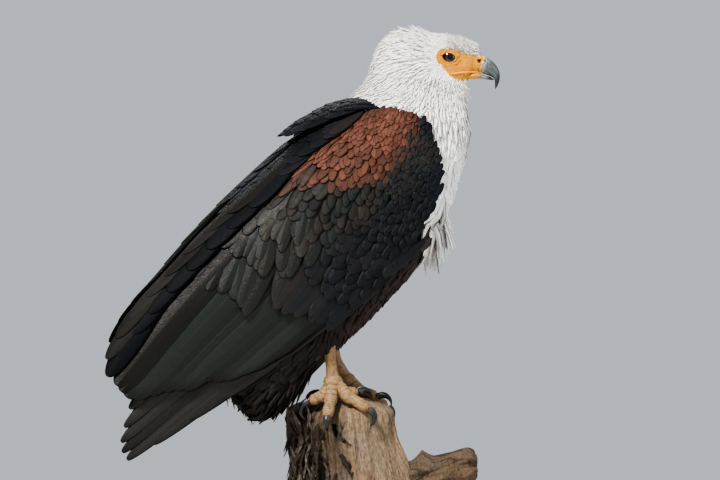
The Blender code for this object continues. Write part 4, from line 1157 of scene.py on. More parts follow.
def tertials(coat, side, fold):
    """Scapulars and tertials: long blades over the ridge, raised above the rest of the wing."""
    small = np.array([(a, part) for a in range(50, 236, 17) for part in (0.76, 0.83, 0.89, 0.94)], float)
    count = len(small)
    small[:, 0] += RNG.normal(0, 4, count)
    root = small[:, 0] - 30
    lay_wing(coat, side, fold, np.stack([root, arc_at(root, small[:, 1])], -1),
             RNG.normal(-0.03, 0.05, count), 66.0, 12.0, (0.0, 4.2), taper(0.5, 0.08, 0.55, 2.0),
             scapular_colour, thick=0.6, camber=0.08, lift=1.0 * RNG.random(count) ** 2)
    rows = (
        ((236, 104), (276, 103), (314, 101), (352, 98), (390, 95), (427, 92), (461, 87), (494, 80),
         (523, 68)),
        ((255, 111), (295, 112), (333, 111), (371, 107), (408, 105), (444, 101), (476, 94), (505, 85)),
    )
    # the lower row is painted near black as shade, the upper row in its lit colour
    shaded_and_lit_tones = (BLACK * 0.7, mix(SLATE, BROWN, 0.35) * 0.85)
    for row, tips in enumerate(rows):
        tip_a, tip_rise = np.array(tips, float).T
        count = len(tips)
        place_at = np.linspace(0, 1, count)
        reach = curve(place_at, ((0, 130), (0.5, 185), (1, 225)))
        root = tip_a - reach
        half = np.full(count, 17.0 - 3 * row)
        tip_q = np.minimum(arc_of_rise(tip_a, tip_rise), arc_at(tip_a, 0.985) - half * 0.9)
        root_q = np.minimum(arc_at(root, curve(place_at, ((0, 0.84), (1, 0.93)))),
                            arc_at(root, 0.985) - half)
        base = 4.6 + 1.2 * row - 0.30 * np.arange(count)
        lay_wing(coat, side, fold, np.stack([root, root_q], -1), np.arctan2(tip_q - root_q, reach),
                 reach, half, (base - 2.0, base + 0.6), taper(0.5, 0.06, 0.66, 1.9),
                 plain_colour(shaded_and_lit_tones[row], 0.18, 0.15), thick=0.7, camber=0.10, bend=radians(-2),
                 lift=0.8 * RNG.random(count))


def wing_board(name, side, fold):
    """The body of the folded wing under its feathers, painted dark as the shade that shows through gaps
    between them.
    """
    rows, columns = 60, 26
    a = np.linspace(-4, 500, rows)[:, None] * np.ones((1, columns))
    v = np.linspace(0, 1, columns)[None]
    front = step(70, -6, a)
    low = arc_at(a, curve(a, WING_LOWER)) + 6 + 8 * front
    high = arc_at(a, np.minimum(curve(a, WING_UPPER) - 0.11 * front, 0.95)) - 4 - 16 * front
    arc = low + np.maximum(high - low, 1) * v
    close = np.minimum(1, np.minimum(v, 1 - v) * 8) * np.minimum(1, (505 - a) / 60)
    depth = -5.0 - 12.0 * step(110, 215, a) - 5.0 * front
    outer = shell(a, arc, depth, side, fold)
    inner = shell(a, arc, depth - 0.6 - 5.0 * close * step(520, 250, a), side, fold)
    return loft(name, np.concatenate([outer, inner[:, ::-1]], 1), SHADE_NAVY * 0.8)


def build_wing(side, name, fold, vane_look, long_look, plain_look, black_look):
    for part, rows, columns, layers, look, slot, nodes in (
            ("lesser_coverts", 7, 4, (lesser_coverts,), vane_look, "chestnut_plumage",
             ("shoulder", "coverts")),
            ("flight_feathers", 26, 8, (secondaries, greater_coverts), long_look, "wing_plumage",
             ("secondaries",)),
            ("primary_feathers", 26, 8, (primaries,), long_look, "black_plumage", ("primaries",)),
            ("tertial_feathers", 26, 8, (tertials,), black_look, "black_plumage", ("tertials",))):
        coat = Coat(f"{name}_{part}", rows, columns)
        for layer in layers:
            layer(coat, side, fold)
        coat.build(look, slot, *(f"{name}_{node}" for node in nodes))
    dress(wing_board(f"{name}_body", side, fold), plain_look, "wing_plumage")


# ------------------------------------------------------------- upper back and tail
def mantle_point(a, q, height):
    """Points over the lifted feathers of the upper back, in millimetres along, aside and over it."""
    top = curve(a, MANTLE[:, (0, 1)]) + 0.02 * np.minimum(0, a - 14)
    half = np.maximum(curve(a, MANTLE[:, (0, 3)]), 16)
    return body_point(a, top - 0.22 * q * q / half + height, q)


def mantle_coat(look, plain_look):
    back = real_mesh(("mantle",), "mantle_skin", 6, 0.0036)
    paint(back.data, BLACK * 0.8)
    dress(back, plain_look, "black_plumage", "mantle")
    starts, sizes = [], []
    for row, a in enumerate(np.arange(-22, 84, 9.5)):
        half = float(curve(a + 22, MANTLE[:, (0, 3)])) + 4
        count = max(2, int(2 * half / 10.5))
        for k in range(count + row % 2):
            q = -half + 2 * half * (k + 0.5 * (1 - row % 2)) / count
            starts.append((a + RNG.normal(0, 2), q + RNG.normal(0, 1.2)))
            sizes.append(44 + 14 * float(step(0, 60, a)))
    starts = np.array(starts)
    a, q = starts.T
    sizes = np.minimum(sizes, 124 - a)
    heading = -np.arctan2(q, 170 - a) * 0.9 + RNG.normal(0, 0.05, len(a))
    coat = Coat("coat_upper_back", 12, 6)
    lay_mapped(coat, mantle_point, False, starts, heading, sizes, 9.0, (-3.5, -0.2),
               taper(0.5, 0.06, 0.45, 1.9), plain_colour(BLACK * 1.15, 0.30, -0.3),
               thick=0.6, camber=0.10, lift=0.9 * RNG.random(len(a)))
    coat.build(look, "black_plumage")


def tail_feathers(look):
    """A closed tail: vanes laid side by side and over each other, white."""
    count, rows, length = 12, 22, 0.168
    coat = Coat("tail_feathers", rows, 8)
    t = tip_dense(rows)
    x = coat.across
    order = np.linspace(-1, 1, count)
    outer = np.abs(order)[:, None]
    y = order[:, None] * 0.017 * (0.6 + 0.4 * t)
    a = 0.300 + (length - 0.010 * outer ** 2) * t
    rise = 0.014 - 0.016 * (np.abs(y) / 0.026) ** 2 + 0.0042 * (1 - outer) - 0.003
    centre = BEND + ALONG * a[..., None] + ACROSS * rise[..., None] + ASIDE * y[..., None]
    off = (0.0115 * taper(0.5, 0.25, 0.85, 2.2)(t))[:, None] * x
    middle = centre[:, :, None] + ASIDE * off[None, ..., None]
    middle = middle - ACROSS * (0.18 * outer[..., None] * np.abs(off))[..., None]
    body = ACROSS * (0.0004 * (1 - x ** 2))[None, None, :, None]
    tint = WHITE * 0.97 * np.ones((count, len(t), len(x), 1)) * RNG.uniform(0.93, 1.03, (count, 1, 1, 1))
    uv = np.stack([0.1 + 0.8 * (order + 1) / 2, 0.5 + 0 * order], -1)
    vane = np.stack(np.broadcast_arrays(off, (length * t)[:, None]), -1)
    coat.add(middle + body, middle - body, tint, uv, np.repeat(vane[None], count, 0))
    coat.build(look, "white_plumage", "tail")


# ------------------------------------------------------------- face, eyes and bill
def bill_rings(table, rows, sides, power):
    """Rings of the bill, each running round from its top edge, with the places and angles."""
    t = np.linspace(0, 1, rows)
    values = even_curve(t * (len(table) - 1), np.array(table)) * MM
    angle = circle(sides)
    c, s = (np.sign(v) * np.abs(v) ** (2 / power) for v in (np.cos(angle), np.sin(angle)))
    high, low = (np.stack([values[:, k], 0 * t, values[:, k + 1]], -1) for k in (0, 2))
    middle, reach = (high + low) / 2, (high - low) / 2
    return (middle[:, None] + reach[:, None] * c[None, :, None]
            + ASIDE * (values[:, 4:] * s)[..., None]), t, angle


def build_bill(horn_look, skin_look):
    rings, t, angle = bill_rings(UPPER_BILL_RINGS, 70, 64, 2.1)
    for k in range(9):
        core = rings[k].mean(0)
        rings[k] = core + (rings[k] - core) * (1 - (0.12 if k == 0 else 0.055) * (1 - k / 9) ** 1.5)
    rings[0] -= (0.0020, 0, 0)
    ridge = np.exp(-(np.minimum(angle, 2 * pi - angle) / 0.35) ** 2)
    rings[..., 1] *= 1 - 0.10 * ridge[None]
    along = t[:, None] * np.ones(len(angle))
    spots = np.stack(np.broadcast_arrays(6 * along, np.cos(angle), np.sin(angle)), -1)
    streak = 0.25 * ripple(spots, 0.35)
    tint = mix(HORN_PALE, HORN_GREY, step(0.0, 0.22, along + streak))
    tint = mix(tint, HORN_BLACK, step(0.42, 0.74, along + 0.30 * ridge[None] + 0.5 * streak))
    tint = mix(YELLOW, tint, step(0.010, 0.024, along + 0.05 * streak))
    dress(loft("bill_upper_horn", from_head(rings), tint), horn_look, "bill_horn", "bill_upper")

    rings, _, _ = bill_rings(LOWER_BILL_RINGS, 50, 48, 2.3)
    x = rings[..., 0] / MM
    tint = mix(YELLOW, np.array((0.20, 0.22, 0.19)), step(36, 42, x))
    tint = mix(tint, HORN_BLACK, step(46, 54, x))
    dress(loft("bill_lower_horn", from_head(rings), tint), skin_look, "bill_horn", "bill_lower")


def strip(points, radii, sides=12):
    """A round strip along head points; points is rows x 3 and radii rows x 2."""
    ahead = unit(np.gradient(points, axis=0))
    out = unit(np.cross(ahead, np.array((0.0, 0.0, 1.0)) + 0 * points))
    up = np.cross(out, ahead)
    angle = circle(sides)
    return (points[:, None] + out[:, None] * (radii[:, :1] * np.cos(angle))[..., None]
            + up[:, None] * (radii[:, 1:] * np.sin(angle))[..., None])


def eyeball(side, name, look):
    bm = bmesh.new()
    bmesh.ops.create_uvsphere(bm, u_segments=96, v_segments=64, radius=EYE_RADIUS)
    bmesh.ops.rotate(bm, verts=bm.verts, matrix=Matrix.Rotation(pi / 2, 3, "X"))
    ball = bmesh_object(name + "_ball", bm)
    ball.data.shade_smooth()
    co = read(ball.data.vertices, "co", 3)
    gaze = unit(np.array((0.16, side * 1.0, -0.02)))
    off = np.arccos(np.clip(unit(co) @ gaze, -1, 1))
    iris = np.array((0.045, 0.016, 0.007))
    tint = mix(np.array((0.001, 0.001, 0.001)), iris, step(0.33, 0.37, off))
    tint = mix(tint, iris * 0.35, step(0.44, 0.52, off))
    paint(ball.data, mix(tint, np.array((0.004, 0.003, 0.003)), step(0.54, 0.60, off)))
    ball.data.vertices.foreach_set("co", from_head(co + ASIDE * side * EYE_SPREAD).ravel())
    dress(ball, look, "eye", name)


def eyelids(surface, side, name, look):
    """Rings from the rims of the lids outward until they meet the skin, then back behind them."""
    sides = 72
    angle = circle(sides)
    tilt = radians(-10)
    u = 8.7 * np.cos(angle)
    v = np.where(np.sin(angle) > 0, 6.0, 6.2) * np.sign(np.sin(angle)) * np.abs(np.sin(angle)) ** 1.10
    lx, lz = (u * cos(tilt) - v * sin(tilt)) * MM, (u * sin(tilt) + v * cos(tilt)) * MM
    rings = []
    for out, depth in ((0.94, 0.0001), (0.98, 0.0009), (1.05, 0.0013), (1.13, 0.0011), (1.20, 0.0006)):
        x, z = lx * out, lz * out
        y = EYE_SPREAD + np.sqrt(np.maximum(1e-9, (EYE_RADIUS + depth) ** 2 - (x * 0.96) ** 2 - z ** 2))
        rings.append(np.stack([x, side * y, z], -1))
    for out, blend in ((1.34, 0.55), (1.52, 0.85), (1.72, 1.0)):
        reach = 1 + (out - 1) * (1 + 0.20 * np.maximum(0, np.cos(angle)))
        x, z = lx * reach, lz * reach
        flat = np.stack([x, side * (0.030 + 0 * lx), z], -1)
        spot = np.abs(to_head(surface.snap(from_head(flat))[0])[:, 1])
        ball = EYE_SPREAD + np.sqrt(np.maximum(0, (EYE_RADIUS + 0.0004) ** 2 - x ** 2 - z ** 2))
        slope = np.abs(rings[4][:, 1]) - 0.0020 * (out - 1.2) / 0.14
        y = np.maximum(slope * (1 - blend) + (spot - 0.0014 * (blend == 1)) * blend,
                       np.where(np.hypot(lx, lz) * reach < 0.0118, ball, 0))
        rings.append(np.stack([x, side * y, z], -1))
    rings += [rings[k] - ASIDE * side * 0.004 for k in (7, 0)]
    rings = np.array(rings)
    count = len(rings)
    faces = grid_faces(count + 1, sides) % (count * sides)
    number = np.arange(count)
    shade = np.array((0.0, 0.35, 0.9, 0.5, 0.1, 0.1, 0.1, 0.1, 0.1, 0.0))[:, None]
    fold = 0.18 * np.sin(angle * 23 + 3 * np.sin(angle * 5)) * (number > 3)[:, None]
    tint = mix(YELLOW * 0.80, np.array((0.76, 0.37, 0.02)), share(shade + fold))
    face = fold_shaded(face_folds(rings.reshape(-1, 3)).reshape(count, sides))
    tint = mix(tint, face, (step(2, 4, number) * step(9.5, 8.5, number))[:, None] + 0 * fold)
    # painted shade: the lid's rim against the eyeball darkest, the next ring about half as dark, and the
    # ring behind the lids dark
    tint = mix(tint, np.array((0.03, 0.012, 0.008)), (shade < 0.01) + 0 * fold)
    tint[1] = tint[1] * 0.45
    lids = mesh_object(name + "_lids", from_head(rings.reshape(-1, 3)), [faces], tint.reshape(-1, 3), {})
    dress(fix_normals(lids), look, "bare_yellow_skin")


def build_face(surface, skin_look, eye_look):
    """Eyes, the rims of their lids and the fleshy edge of the gape, on both sides."""
    for side, name in ((-1, "eye_right"), (1, "eye_left")):
        eyeball(side, name, eye_look)
        eyelids(surface, side, name, skin_look)
    parts = []
    t = np.linspace(0, 1, 60)
    x = (2.0 + 43.5 * t) * MM
    z = (-20.4 + 1.5 * np.sin(t * pi * 0.8) - 1.2 * (1 - t) ** 3) * MM
    swell = np.sin(pi * share(t * 1.02 + 0.02)) ** 0.45
    radii = np.stack([0.7 * swell, 1.15 * (0.15 + 0.85 * swell)], -1) * MM
    tone = mix(np.array((0.84, 0.46, 0.09)), YELLOW, step(0.1, 0.6, t))
    for side in (-1, 1):
        spot = to_head(surface.snap(from_head(np.stack([x, side * (0.030 + 0 * x), z], -1)))[0])
        y = np.convolve(np.pad(np.abs(spot[:, 1]), 4, "edge"), np.ones(9) / 9, "valid") - 0.0003
        rings = from_head(strip(np.stack([x, side * y, z], -1), radii))
        parts.append(loft(f"lip_{side}", rings, tone[:, None]))
    dress(join(parts, "gape_edges"), skin_look, "bare_yellow_skin")


# ------------------------------------------------------------- legs and feet
def tube_rings(path, radii, sides, out):
    """Rings of a tube through a path of points; out is the direction of each ring's first point."""
    ahead = unit(np.gradient(path, axis=0))
    rise = np.cross(out, ahead)
    angle = circle(sides)
    return (path[:, None] + out[:, None] * (radii[:, None] * np.cos(angle))[..., None]
            + rise[:, None] * (radii[:, None] * np.sin(angle))[..., None])


def refine(points, count):
    points = np.asarray([tuple(p) for p in points], float)
    return even_curve(np.linspace(0, len(points) - 1, count), points)


def perch_top(along, depth):
    left, right = PERCH_RINGS[-1, 1:] * MM
    x, y = (along - (left + right) / 2) / ((right - left) / 2), depth / PERCH_DEPTH
    return PERCH_CROWN - (PERCH_CROWN - PERCH_RIM) * sqrt(x * x + y * y) ** CROWN_CURVE


def toe_line(foot, heading, length):
    """The bends of a toe from the palm outward, over the broken end of the perch."""
    out = Vector((cos(radians(heading)), sin(radians(heading)), 0))
    start = PERCH_SPIN.transposed() @ foot
    points = []
    for k in range(6):
        spot = start + out * (length * k / 5)
        radius = TOE_RADIUS * (1.12 - 0.06 * k + 0.07 * cos(pi * k))
        height = perch_top(spot.x, spot.y) + radius + 0.0004
        over = max(0.0, start.z - height) * max(0.0, 1 - 0.4 * k) ** 1.5
        arch = 0.0022 * abs(sin(pi * k / 2))
        points.append(np.array(PERCH_SPIN @ Vector((spot.x, spot.y, height + over + arch))))
    return points


def claw_line(points, length, rise):
    ahead = unit(points[-1] - points[-3])
    flat = unit(ahead * (1, 1, 0))
    angle = asin(max(-1.0, min(1.0, ahead[2]))) + radians(rise)
    line = [points[-1] + ahead * 0.0015]
    for _ in range(5):
        angle -= radians(CLAW_TURN) / 5
        line.append(line[-1] + (flat * cos(angle) + np.array((0, 0, sin(angle)))) * length / 5)
    return line


def scale_tone(amount, crease_shade_and_grime):
    return mix(mix(SCALE, SCALE_PALE, share(amount)), SCALE_DARK, share(crease_shade_and_grime))


def scaled_skin(name, path, radii, sides, scutes, up, net):
    """A scaly tube: broad scutes across its upper side and small round scales below."""
    depth = 0.0005
    ahead = unit(np.gradient(path, axis=0))
    rings = tube_rings(path, radii, sides, unit(np.cross(ahead, np.array(up, float) + 0 * ahead)))
    angle = circle(sides)
    top = step(-0.25, 0.25, np.sin(angle))[None]
    wobble = 0.12 * np.sin(angle * 2 + 1.3)[None]
    saw = ((np.linspace(0, 1, len(path)) * scutes)[:, None] + wobble) % 1.0
    lap = depth * (saw ** 0.6 - 0.5) * top
    groove = np.exp(-(np.minimum(saw, 1 - saw) / 0.09) ** 2) * top
    pebble, coarse = ripple(rings, 0.0013), ripple(rings, 0.0045, 5.0)
    low = net * pebble * (1 - 0.7 * top) + 0.0004 * coarse
    normal = unit(rings - rings.mean(1, keepdims=True))
    rings = rings + normal * (lap + low - 0.5 * depth * groove)[..., None]
    # painted shade in the grooves between the scutes and the hollows between the small scales, with
    # broad blotches of grime; each scute lighter toward its raised edge as a painted highlight
    crease_shade_and_grime = share(-pebble) * (1 - 0.6 * top) + 0.35 * share(-coarse)
    tint = scale_tone(0.4 + 0.9 * coarse + 0.5 * (saw - 0.5) * top, 0.85 * groove + 0.9 * crease_shade_and_grime)
    return loft(name, rings, tint)


def palm(name, foot):
    ball = bmesh.new()
    bmesh.ops.create_icosphere(ball, subdivisions=4, radius=PALM_RADIUS * 0.97)
    made = bmesh_object(name, ball)
    made.data.shade_smooth()
    co = read(made.data.vertices, "co", 3)
    co = co * (1.05, 1.05, 0.92) * (1 + 0.045 * ripple(co, 0.0016)[:, None])
    # darker where the fine bumps dip: painted shade between them
    paint(made.data, scale_tone(0.4 + ripple(co, 0.0045, 5.0), -1.2 * ripple(co, 0.0016)))
    made.data.vertices.foreach_set("co", (co + np.array(foot) - (0, 0, 0.0015)).ravel())
    return made


def build_feet(scale_look, claw_look):
    for foot, ankle, toes, name in zip(FEET, ANKLES, TOES, ("leg_right", "leg_left")):
        parts = [palm(name + "_palm", foot)]
        for digit, heading, length, claw_length, rise in toes:
            bends = toe_line(foot, heading, length)
            t = np.linspace(0, 1, 110)
            radii = TOE_RADIUS * (1.10 - 0.30 * t + 0.07 * np.cos(5 * pi * t)) * 0.98
            radii *= np.sqrt(np.clip((1.0 - t) / 0.06, 0.25, 1))
            parts.append(scaled_skin(f"{name}_{digit}", refine(bends, len(t)), radii, 40,
                                     round(length / 0.0030), (0, 0, 1), 0.0006))
            line = refine(claw_line(bends, claw_length, rise), 40)
            s = np.linspace(0, 1, 40)
            aside = unit(np.cross(unit(line[-1] - line[0]), (0, 0, 1.0)))
            rings = tube_rings(line, 0.0046 * (1 - s ** 1.4) + 0.0005, 24, np.tile(aside, (40, 1)))
            tint = mix(CLAW_ROOT, CLAW_TIP, step(0.0, 0.4, s))
            dress(loft(f"{name}_{digit}_talon", rings, tint[:, None]), claw_look, "claw_horn",
                  f"{name}_foot_{digit}_claw")
        dress(join(parts, f"{name}_toes"), scale_look, "foot_scales", f"{name}_foot")
        bends = [ankle + Vector((0, 0, 0.012)), ankle.lerp(foot, 0.33), ankle.lerp(foot, 0.66), foot]
        t = np.linspace(0, 1, 90)
        radii = 0.0072 * (1 + 0.28 * np.abs(2 * t - 1) ** 2)
        shin = scaled_skin(f"{name}_shin", refine(bends, len(t)), radii, 36, 11, (0, 1, 0), 0.0004)
        dress(shin, scale_look, "foot_scales", f"{name}_tarsus")


# ------------------------------------------------------------- perch and stand
def checks(angle, h):
    """Depth from 0 to 1 of the drying cracks that run up the wood, at each angle of one height."""
    deep = np.zeros_like(angle)
    for at, middle, reach, amount, lean in CHECKS.tolist():
        strength = amount * max(0.0, 1 - ((h - middle) / reach) ** 2)
        if strength > 0:
            line = at + 0.05 * lean * sin(60 * h + 9 * lean) + 0.6 * lean * (h - middle)
            away = (angle - line + pi) % (2 * pi) - pi
            deep = np.maximum(deep, strength * np.exp(-(away / (0.012 + 0.014 * strength)) ** 2))
    return deep


def deep_split(angle, h):
    """The wide slanting split in the face of the trunk."""
    at, slant, middle, reach, width = SPLIT
    strength = max(0.0, 1 - ((h - middle) / reach) ** 2)
    line = at + slant * (h - middle) + 0.03 * sin(260 * h) + 0.012 * sin(710 * h)
    away = (angle - line + pi) % (2 * pi) - pi
    return strength * np.exp(-(away / width) ** 4)


def perch_sides(height):
    """Middle and half width of the trunk at heights in millimetres."""
    left, right = (curve(height, PERCH_RINGS[:, (0, c)]) * MM for c in (1, 2))
    return (left + right) / 2, (right - left) / 2


def splinters():
    """Torn fibres and flakes that stand off the rotten side of the trunk."""
    t = np.linspace(0, 1, 10)
    around = circle(8)
    parts = []
    for k in range(SPLINTERS):
        h, angle = RNG.uniform(110, 222), ROT_SIDE + RNG.normal(-0.25, 0.50)
        middle, reach = perch_sides(h)
        out = np.array((cos(angle), sin(angle), 0))
        root = np.array((middle, 0, h * MM)) + out * (reach, PERCH_DEPTH, 0)
        side = np.array((-out[1], out[0], 0))
        way = unit(out * RNG.uniform(0.15, 0.55) + side * RNG.normal(0, 0.12)
                   + (0, 0, RNG.choice((-1, -1, 1))))
        face = unit(np.cross(side, way))
        length, width = RNG.uniform(0.016, 0.040), RNG.uniform(0.0022, 0.0060)
        ragged = RNG.normal(0, 0.16, len(t))
        half = (width * (np.clip(1 - t ** 2.6, 0, 1) * (1 + ragged) + 0.02))[:, None]
        bow = (0.002 * np.sin(5 * t + k))[:, None]
        path = root - out * 0.012 + way * (t * length)[:, None] + side * bow
        ring = (path[:, None] + side * (half * np.cos(around))[..., None]
                + face * (0.38 * half * np.sin(around))[..., None])
        tone = (WOOD_GREY, WOOD_DARK * 1.6, WOOD_DARK)[k % 3]
        tone = mix(WOOD_DARK, tone, RNG.random((len(t), len(around))) * 0.8)
        parts.append(loft("splinter", ring @ PERCH_FRAME, tone))
    return parts


def wood_tone(fibres, patches, grey):
    tone = mix(WOOD, WOOD_PALE, share(fibres))
    return mix(tone, WOOD_GREY, share(patches) * grey)


def perch_mesh():
    """The broken trunk, closed top and bottom, with furrows, cracks and a rotten hollow."""
    rows, sides = 120, 440
    angle = circle(sides)
    along, aside = np.cos(angle), np.sin(angle)
    height = np.linspace(100, PERCH_LAST / MM, rows)
    middles, reaches = perch_sides(height)
    rotten = np.cos(angle - ROT_SIDE)
    slab = np.maximum(0, np.cos(angle - SLAB_SIDE)) ** 3
    splinter = 0.0016 * ripple(np.stack([along, aside, 0 * angle], -1), 0.045)
    edge = PERCH_RIM - 0.010 * slab + 0.0035 * np.sin(5 * angle + 0.6) + 0.0022 * np.sin(11 * angle)
    verts, shades = [], []

    def ring(middle, reach, h, z, part=1.0):
        grain = np.stack([along * 0.07, aside * 0.06, np.full(sides, h * 0.07)], -1)
        fine = ripple(grain, 0.0030) + 0.7 * ripple(grain, 0.0013, 7.0)
        wide = ripple(grain * (1, 1, 3.0), 0.012, 3.0)
        crack, gap = checks(angle, h), deep_split(angle, h)
        ribs = 0.0022 * np.sin(7 * angle + 18 * h) + 0.0014 * np.sin(13 * angle - 41 * h)
        relief = ribs - 0.013 * np.maximum(0, (rotten - 0.62) / 0.38) ** 0.6 - 0.0016
        relief += 0.0013 * np.abs(fine) - 0.0052 * crack + 0.0020 * wide - 0.011 * gap
        verts.append(np.stack([middle + (reach + relief) * part * along,
                               (PERCH_DEPTH + relief) * part * aside, z + 0 * angle], -1) @ PERCH_FRAME)
        # the rotten side darker, partly the rot's own colour and partly painted shade in its recess; the
        # cracks darkened as painted shade
        rot_and_recess_shade = np.maximum(0, (rotten - 0.55) / 0.45) ** 0.6
        tone = wood_tone(0.45 + 0.9 * fine, 0.35 + 1.1 * wide, 0.6)
        tone = mix(tone, WOOD_DARK, share(0.95 * crack + 1.15 * rot_and_recess_shade * (0.8 + 0.5 * fine)))
        # the deep split painted darker as shade
        shades.append(mix(tone, WOOD_DARK * 0.6, share(1.2 * gap)))

    for middle, reach, h in zip(middles, reaches, height):
        ring(middle, reach, h * MM, h * MM)
    middle, reach = middles[-1], reaches[-1]
    for part in np.linspace(1.0, 0.97, 7)[1:]:
        lift = ((1 - part) / 0.03) ** 0.7
        ring(middle, reach, PERCH_RIM, PERCH_LAST + (edge + splinter * 0.8 - PERCH_LAST) * lift, part)
    for part in np.linspace(0.955, 0.04, 46):
        top = PERCH_CROWN - (PERCH_CROWN - edge) * part ** CROWN_CURVE
        spots = np.stack([along * part * 0.07, aside * part * 0.06, 0 * angle], -1)
        ring(middle, reach, PERCH_RIM, top + 0.0010 * ripple(spots, 0.006) - 0.0010, part)
    return loft("perch_wood", np.array(verts), np.array(shades))


def branch_mesh():
    """The stump of a side branch with its broken end and the splinter on it, painted darker as shade."""
    rows, sides = 100, 160
    angle = circle(sides)
    along = np.linspace(0, 1, rows)
    verts, shades = [], []
    for at, (out, height, up, deep) in zip(along, even_curve(along * (len(BRANCH_RINGS) - 1),
                                                             np.array(BRANCH_RINGS, float))):
        grain = np.stack([np.cos(angle) * 28, np.sin(angle) * 28, np.full(sides, out * 0.12)], -1) * MM
        fine = ripple(grain, 0.0035, 3.0) + 0.6 * ripple(grain, 0.0016, 9.0)
        wide = ripple(grain * (1, 1, 2.2), 0.011, 6.0)
        crack = np.exp(-(wide / 0.12) ** 2)
        rib = 1.6 * np.sin(5 * angle + out / 9) + 1.1 * np.sin(9 * angle)
        rib = rib + 0.8 * fine - 1.0 * crack * step(1.0, 0.9, at)
        near = max(0.0, 1 - abs(out - 100) / 15)
        spike = 11.0 * near ** 1.3 * np.maximum(0, np.sin(angle)) ** 4
        end = np.stack([np.cos(angle) * up, np.sin(angle) * up, 0 * angle], -1)
        torn = step(150, 168, out) * 1.8 * ripple(end, 6.0, 2.0)
        verts.append(np.stack([(out + torn) * MM, 0.006 + (deep * np.cos(angle) + rib - 0.5) * MM,
                               (height + (up + rib - 0.5) * np.sin(angle) + spike) * MM],
                              -1) @ PERCH_FRAME)
        # cracks darkened as painted shade, then the whole stump darkened as painted shade
        tone = mix(wood_tone(0.45 + 0.75 * fine, 0.25 + 0.9 * wide, 0.55), WOOD_DARK, share(0.8 * crack))
        shades.append(mix(tone, WOOD_DARK, 0.62))
    return loft("perch_branch", np.array(verts), np.array(shades))


def soft_edge(radius, low, high, bevel):
    turn = np.linspace(0, pi / 2, 7)
    lower = [(radius - bevel + bevel * sin(a), low + bevel - bevel * cos(a)) for a in turn]
    upper = [(radius - bevel + bevel * cos(a), high - bevel + bevel * sin(a)) for a in turn]
    return np.array(lower + upper)


def build_stand():
    look = Look("turned_base", 0.34, Coat_Weight=0.25, Coat_Roughness=0.2)
    ramp = look.node("ValToRGB", Fac=look.noise(look.spot((6, 60, 60)), 3.0, 8, Distortion=0.6))[0]
    stops = ((0.32, (0.035, 0.018, 0.010, 1)), (0.70, (0.125, 0.068, 0.036, 1)))
    for stop, (spot, tone) in zip(ramp.node.color_ramp.elements, stops):
        stop.position, stop.color = spot, tone
    look.set(look.shader, Base_Color=ramp)
    steel = Look("brushed_steel_look", 0.30, Metallic=1.0, Base_Color=(0.55, 0.55, 0.56, 1)).made
    for name, profile, sides, made, slot, node, tint in (
            ("stand_plinth", (0.150, 0.0, 0.018, 0.004), 128, look.made, "stained_wood", "stand_base",
             (0.1, 0.06, 0.04)),
            ("stand_socket", (0.019, 0.0184, 0.0284, 0.0025), 96, steel, "brushed_steel",
             "stand_collar", (0.5, 0.5, 0.5)),
            ("stand_post", (0.008, 0.0288, 0.0996, 0.0008), 64, steel, "brushed_steel", "stand_rod",
             (0.5, 0.5, 0.5))):
        angle = circle(sides)
        radius, height = soft_edge(*profile).T[..., None]
        rings = np.stack([STAND_MIDDLE[0] + radius * np.cos(angle),
                          STAND_MIDDLE[1] + radius * np.sin(angle), height + 0 * angle], -1)
        dress(loft(name, rings, tint), made, slot, node)


# ------------------------------------------------------------- surroundings
def build_floor():
    angle = circle(96)
    verts = np.stack([2.3 * np.cos(angle), 2.3 * np.sin(angle), 0 * angle - 0.0004], -1)
    floor = loft("floor", np.stack([verts, verts - (0, 0, 0.01)]), (0.6, 0.6, 0.6))
    floor.data.materials.append(Look("floor_look", 0.7, Base_Color=(0.62, 0.62, 0.60, 1)).made)


def aim(made, spot, target):
    made.location = spot
    made.rotation_euler = (Vector(target) - Vector(spot)).to_track_quat("-Z", "Y").to_euler()
    return made


def light_scene():
    world = bpy.data.worlds.new("studio")
    world.use_nodes = True
    sky = world.node_tree.nodes["Background"].inputs
    sky["Color"].default_value = (0.80, 0.85, 0.92, 1)
    sky["Strength"].default_value = 0.62
    bpy.context.scene.world = world
    for name, spot, energy, size, colour in (
            ("key", (-2.0, -1.6, 2.9), 290, 0.8, (1.0, 0.955, 0.89)),
            ("fill", (2.2, -2.4, 1.2), 30, 2.2, (0.92, 0.96, 1.0)),
            ("rim", (0.6, 2.4, 2.0), 24, 1.2, (1.0, 0.97, 0.93))):
        lamp = bpy.data.lights.new(name, "AREA")
        lamp.shape = "DISK"
        lamp.energy, lamp.size, lamp.color = energy, size, colour
        aim(add_object(name, lamp), spot, (0.02, 0.0, 0.45))
    bpy.context.scene.view_settings.look = "AgX - Medium High Contrast"


def add_camera():
    """The photo's view, from 24 degrees behind the bird's right side."""
    lens = bpy.data.cameras.new("camera")
    lens.sensor_width, lens.lens, lens.clip_end = 36, 230.8, 100
    target = Vector((0.0178, -0.0079, 0.462))
    back = Vector((-sin(radians(24)), -cos(radians(24)), 0))
    bpy.context.scene.camera = aim(add_object("camera", lens), target + back * 6.0, target)


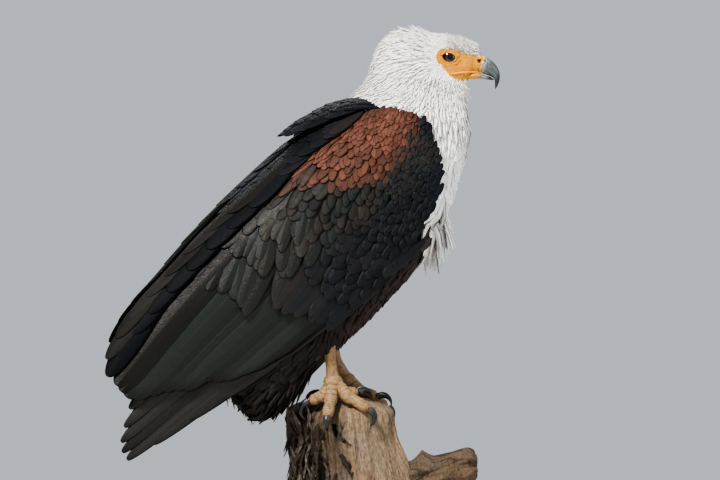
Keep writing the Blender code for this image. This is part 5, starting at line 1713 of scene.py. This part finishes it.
# drying cracks of the trunk: angle, middle height, reach, depth and lean
CHECKS = np.stack([RNG.uniform(low, high, 30) for low, high in (
    (0, 2 * pi), (0.10, 0.25), (0.015, 0.060), (0.5, 1.0), (-1, 1))], -1)

down_look = down_material("white_down")
vane_look = vane_material("covert_vanes", 0.50, 0.0011, 0.22, (0.0003, 0.30), 0.00015,
                          Specular_IOR_Level=0.15)
long_look = vane_material("flight_vanes", 0.45, 0.0016, 0.24, (0.0005, 0.55), 0.00014,
                          Specular_IOR_Level=0.18)
black_look = vane_material("black_vanes", 0.6, 0.0016, 0.20, (0.0004, 0.30), 0.00012,
                           Specular_IOR_Level=0.06)
white_look = vane_material("white_vanes", 0.70, 0.0012, 0.05, (0.0005, -0.08), 0.00012)
plain_look = tint_material("dark_underlay", 0.8, Specular_IOR_Level=0.15)
skin_look = tint_material("bare_skin", 0.42, grain=0.08, grain_size=0.0009, bump=0.00012,
                          Subsurface_Weight=0.15, Subsurface_Scale=0.002)
horn_look = tint_material("horn", 0.28, grain=0.10, grain_size=0.002)
eye_look = tint_material("wet_eye", 0.05, Specular_IOR_Level=0.35, Coat_Weight=0.3, Coat_Roughness=0.02)
scale_look = tint_material("foot_skin", 0.65, grain=0.25, grain_size=0.001, bump=0.0002)
claw_look = tint_material("claw", 0.34, Specular_IOR_Level=0.35)

surface = Surface(build_skin())
head_coat(surface, down_look)
head_tufts(surface, down_look)
hanging_tufts(surface, down_look, plain_look)
trunk_coat(surface, vane_look)
build_wing(-1, "wing_right", 1.0, vane_look, long_look, plain_look, black_look)
build_wing(1, "wing_left", LEFT_FOLD, vane_look, long_look, plain_look, black_look)
mantle_coat(black_look, plain_look)
tail_feathers(white_look)
build_bill(horn_look, skin_look)
build_face(surface, skin_look, eye_look)
build_feet(scale_look, claw_look)
trunk = join([perch_mesh(), branch_mesh(), *splinters()], "perch_wood")
dress(trunk, wood_material("weathered_wood"), "dead_wood", "perch")
build_stand()
build_floor()
light_scene()
add_camera()
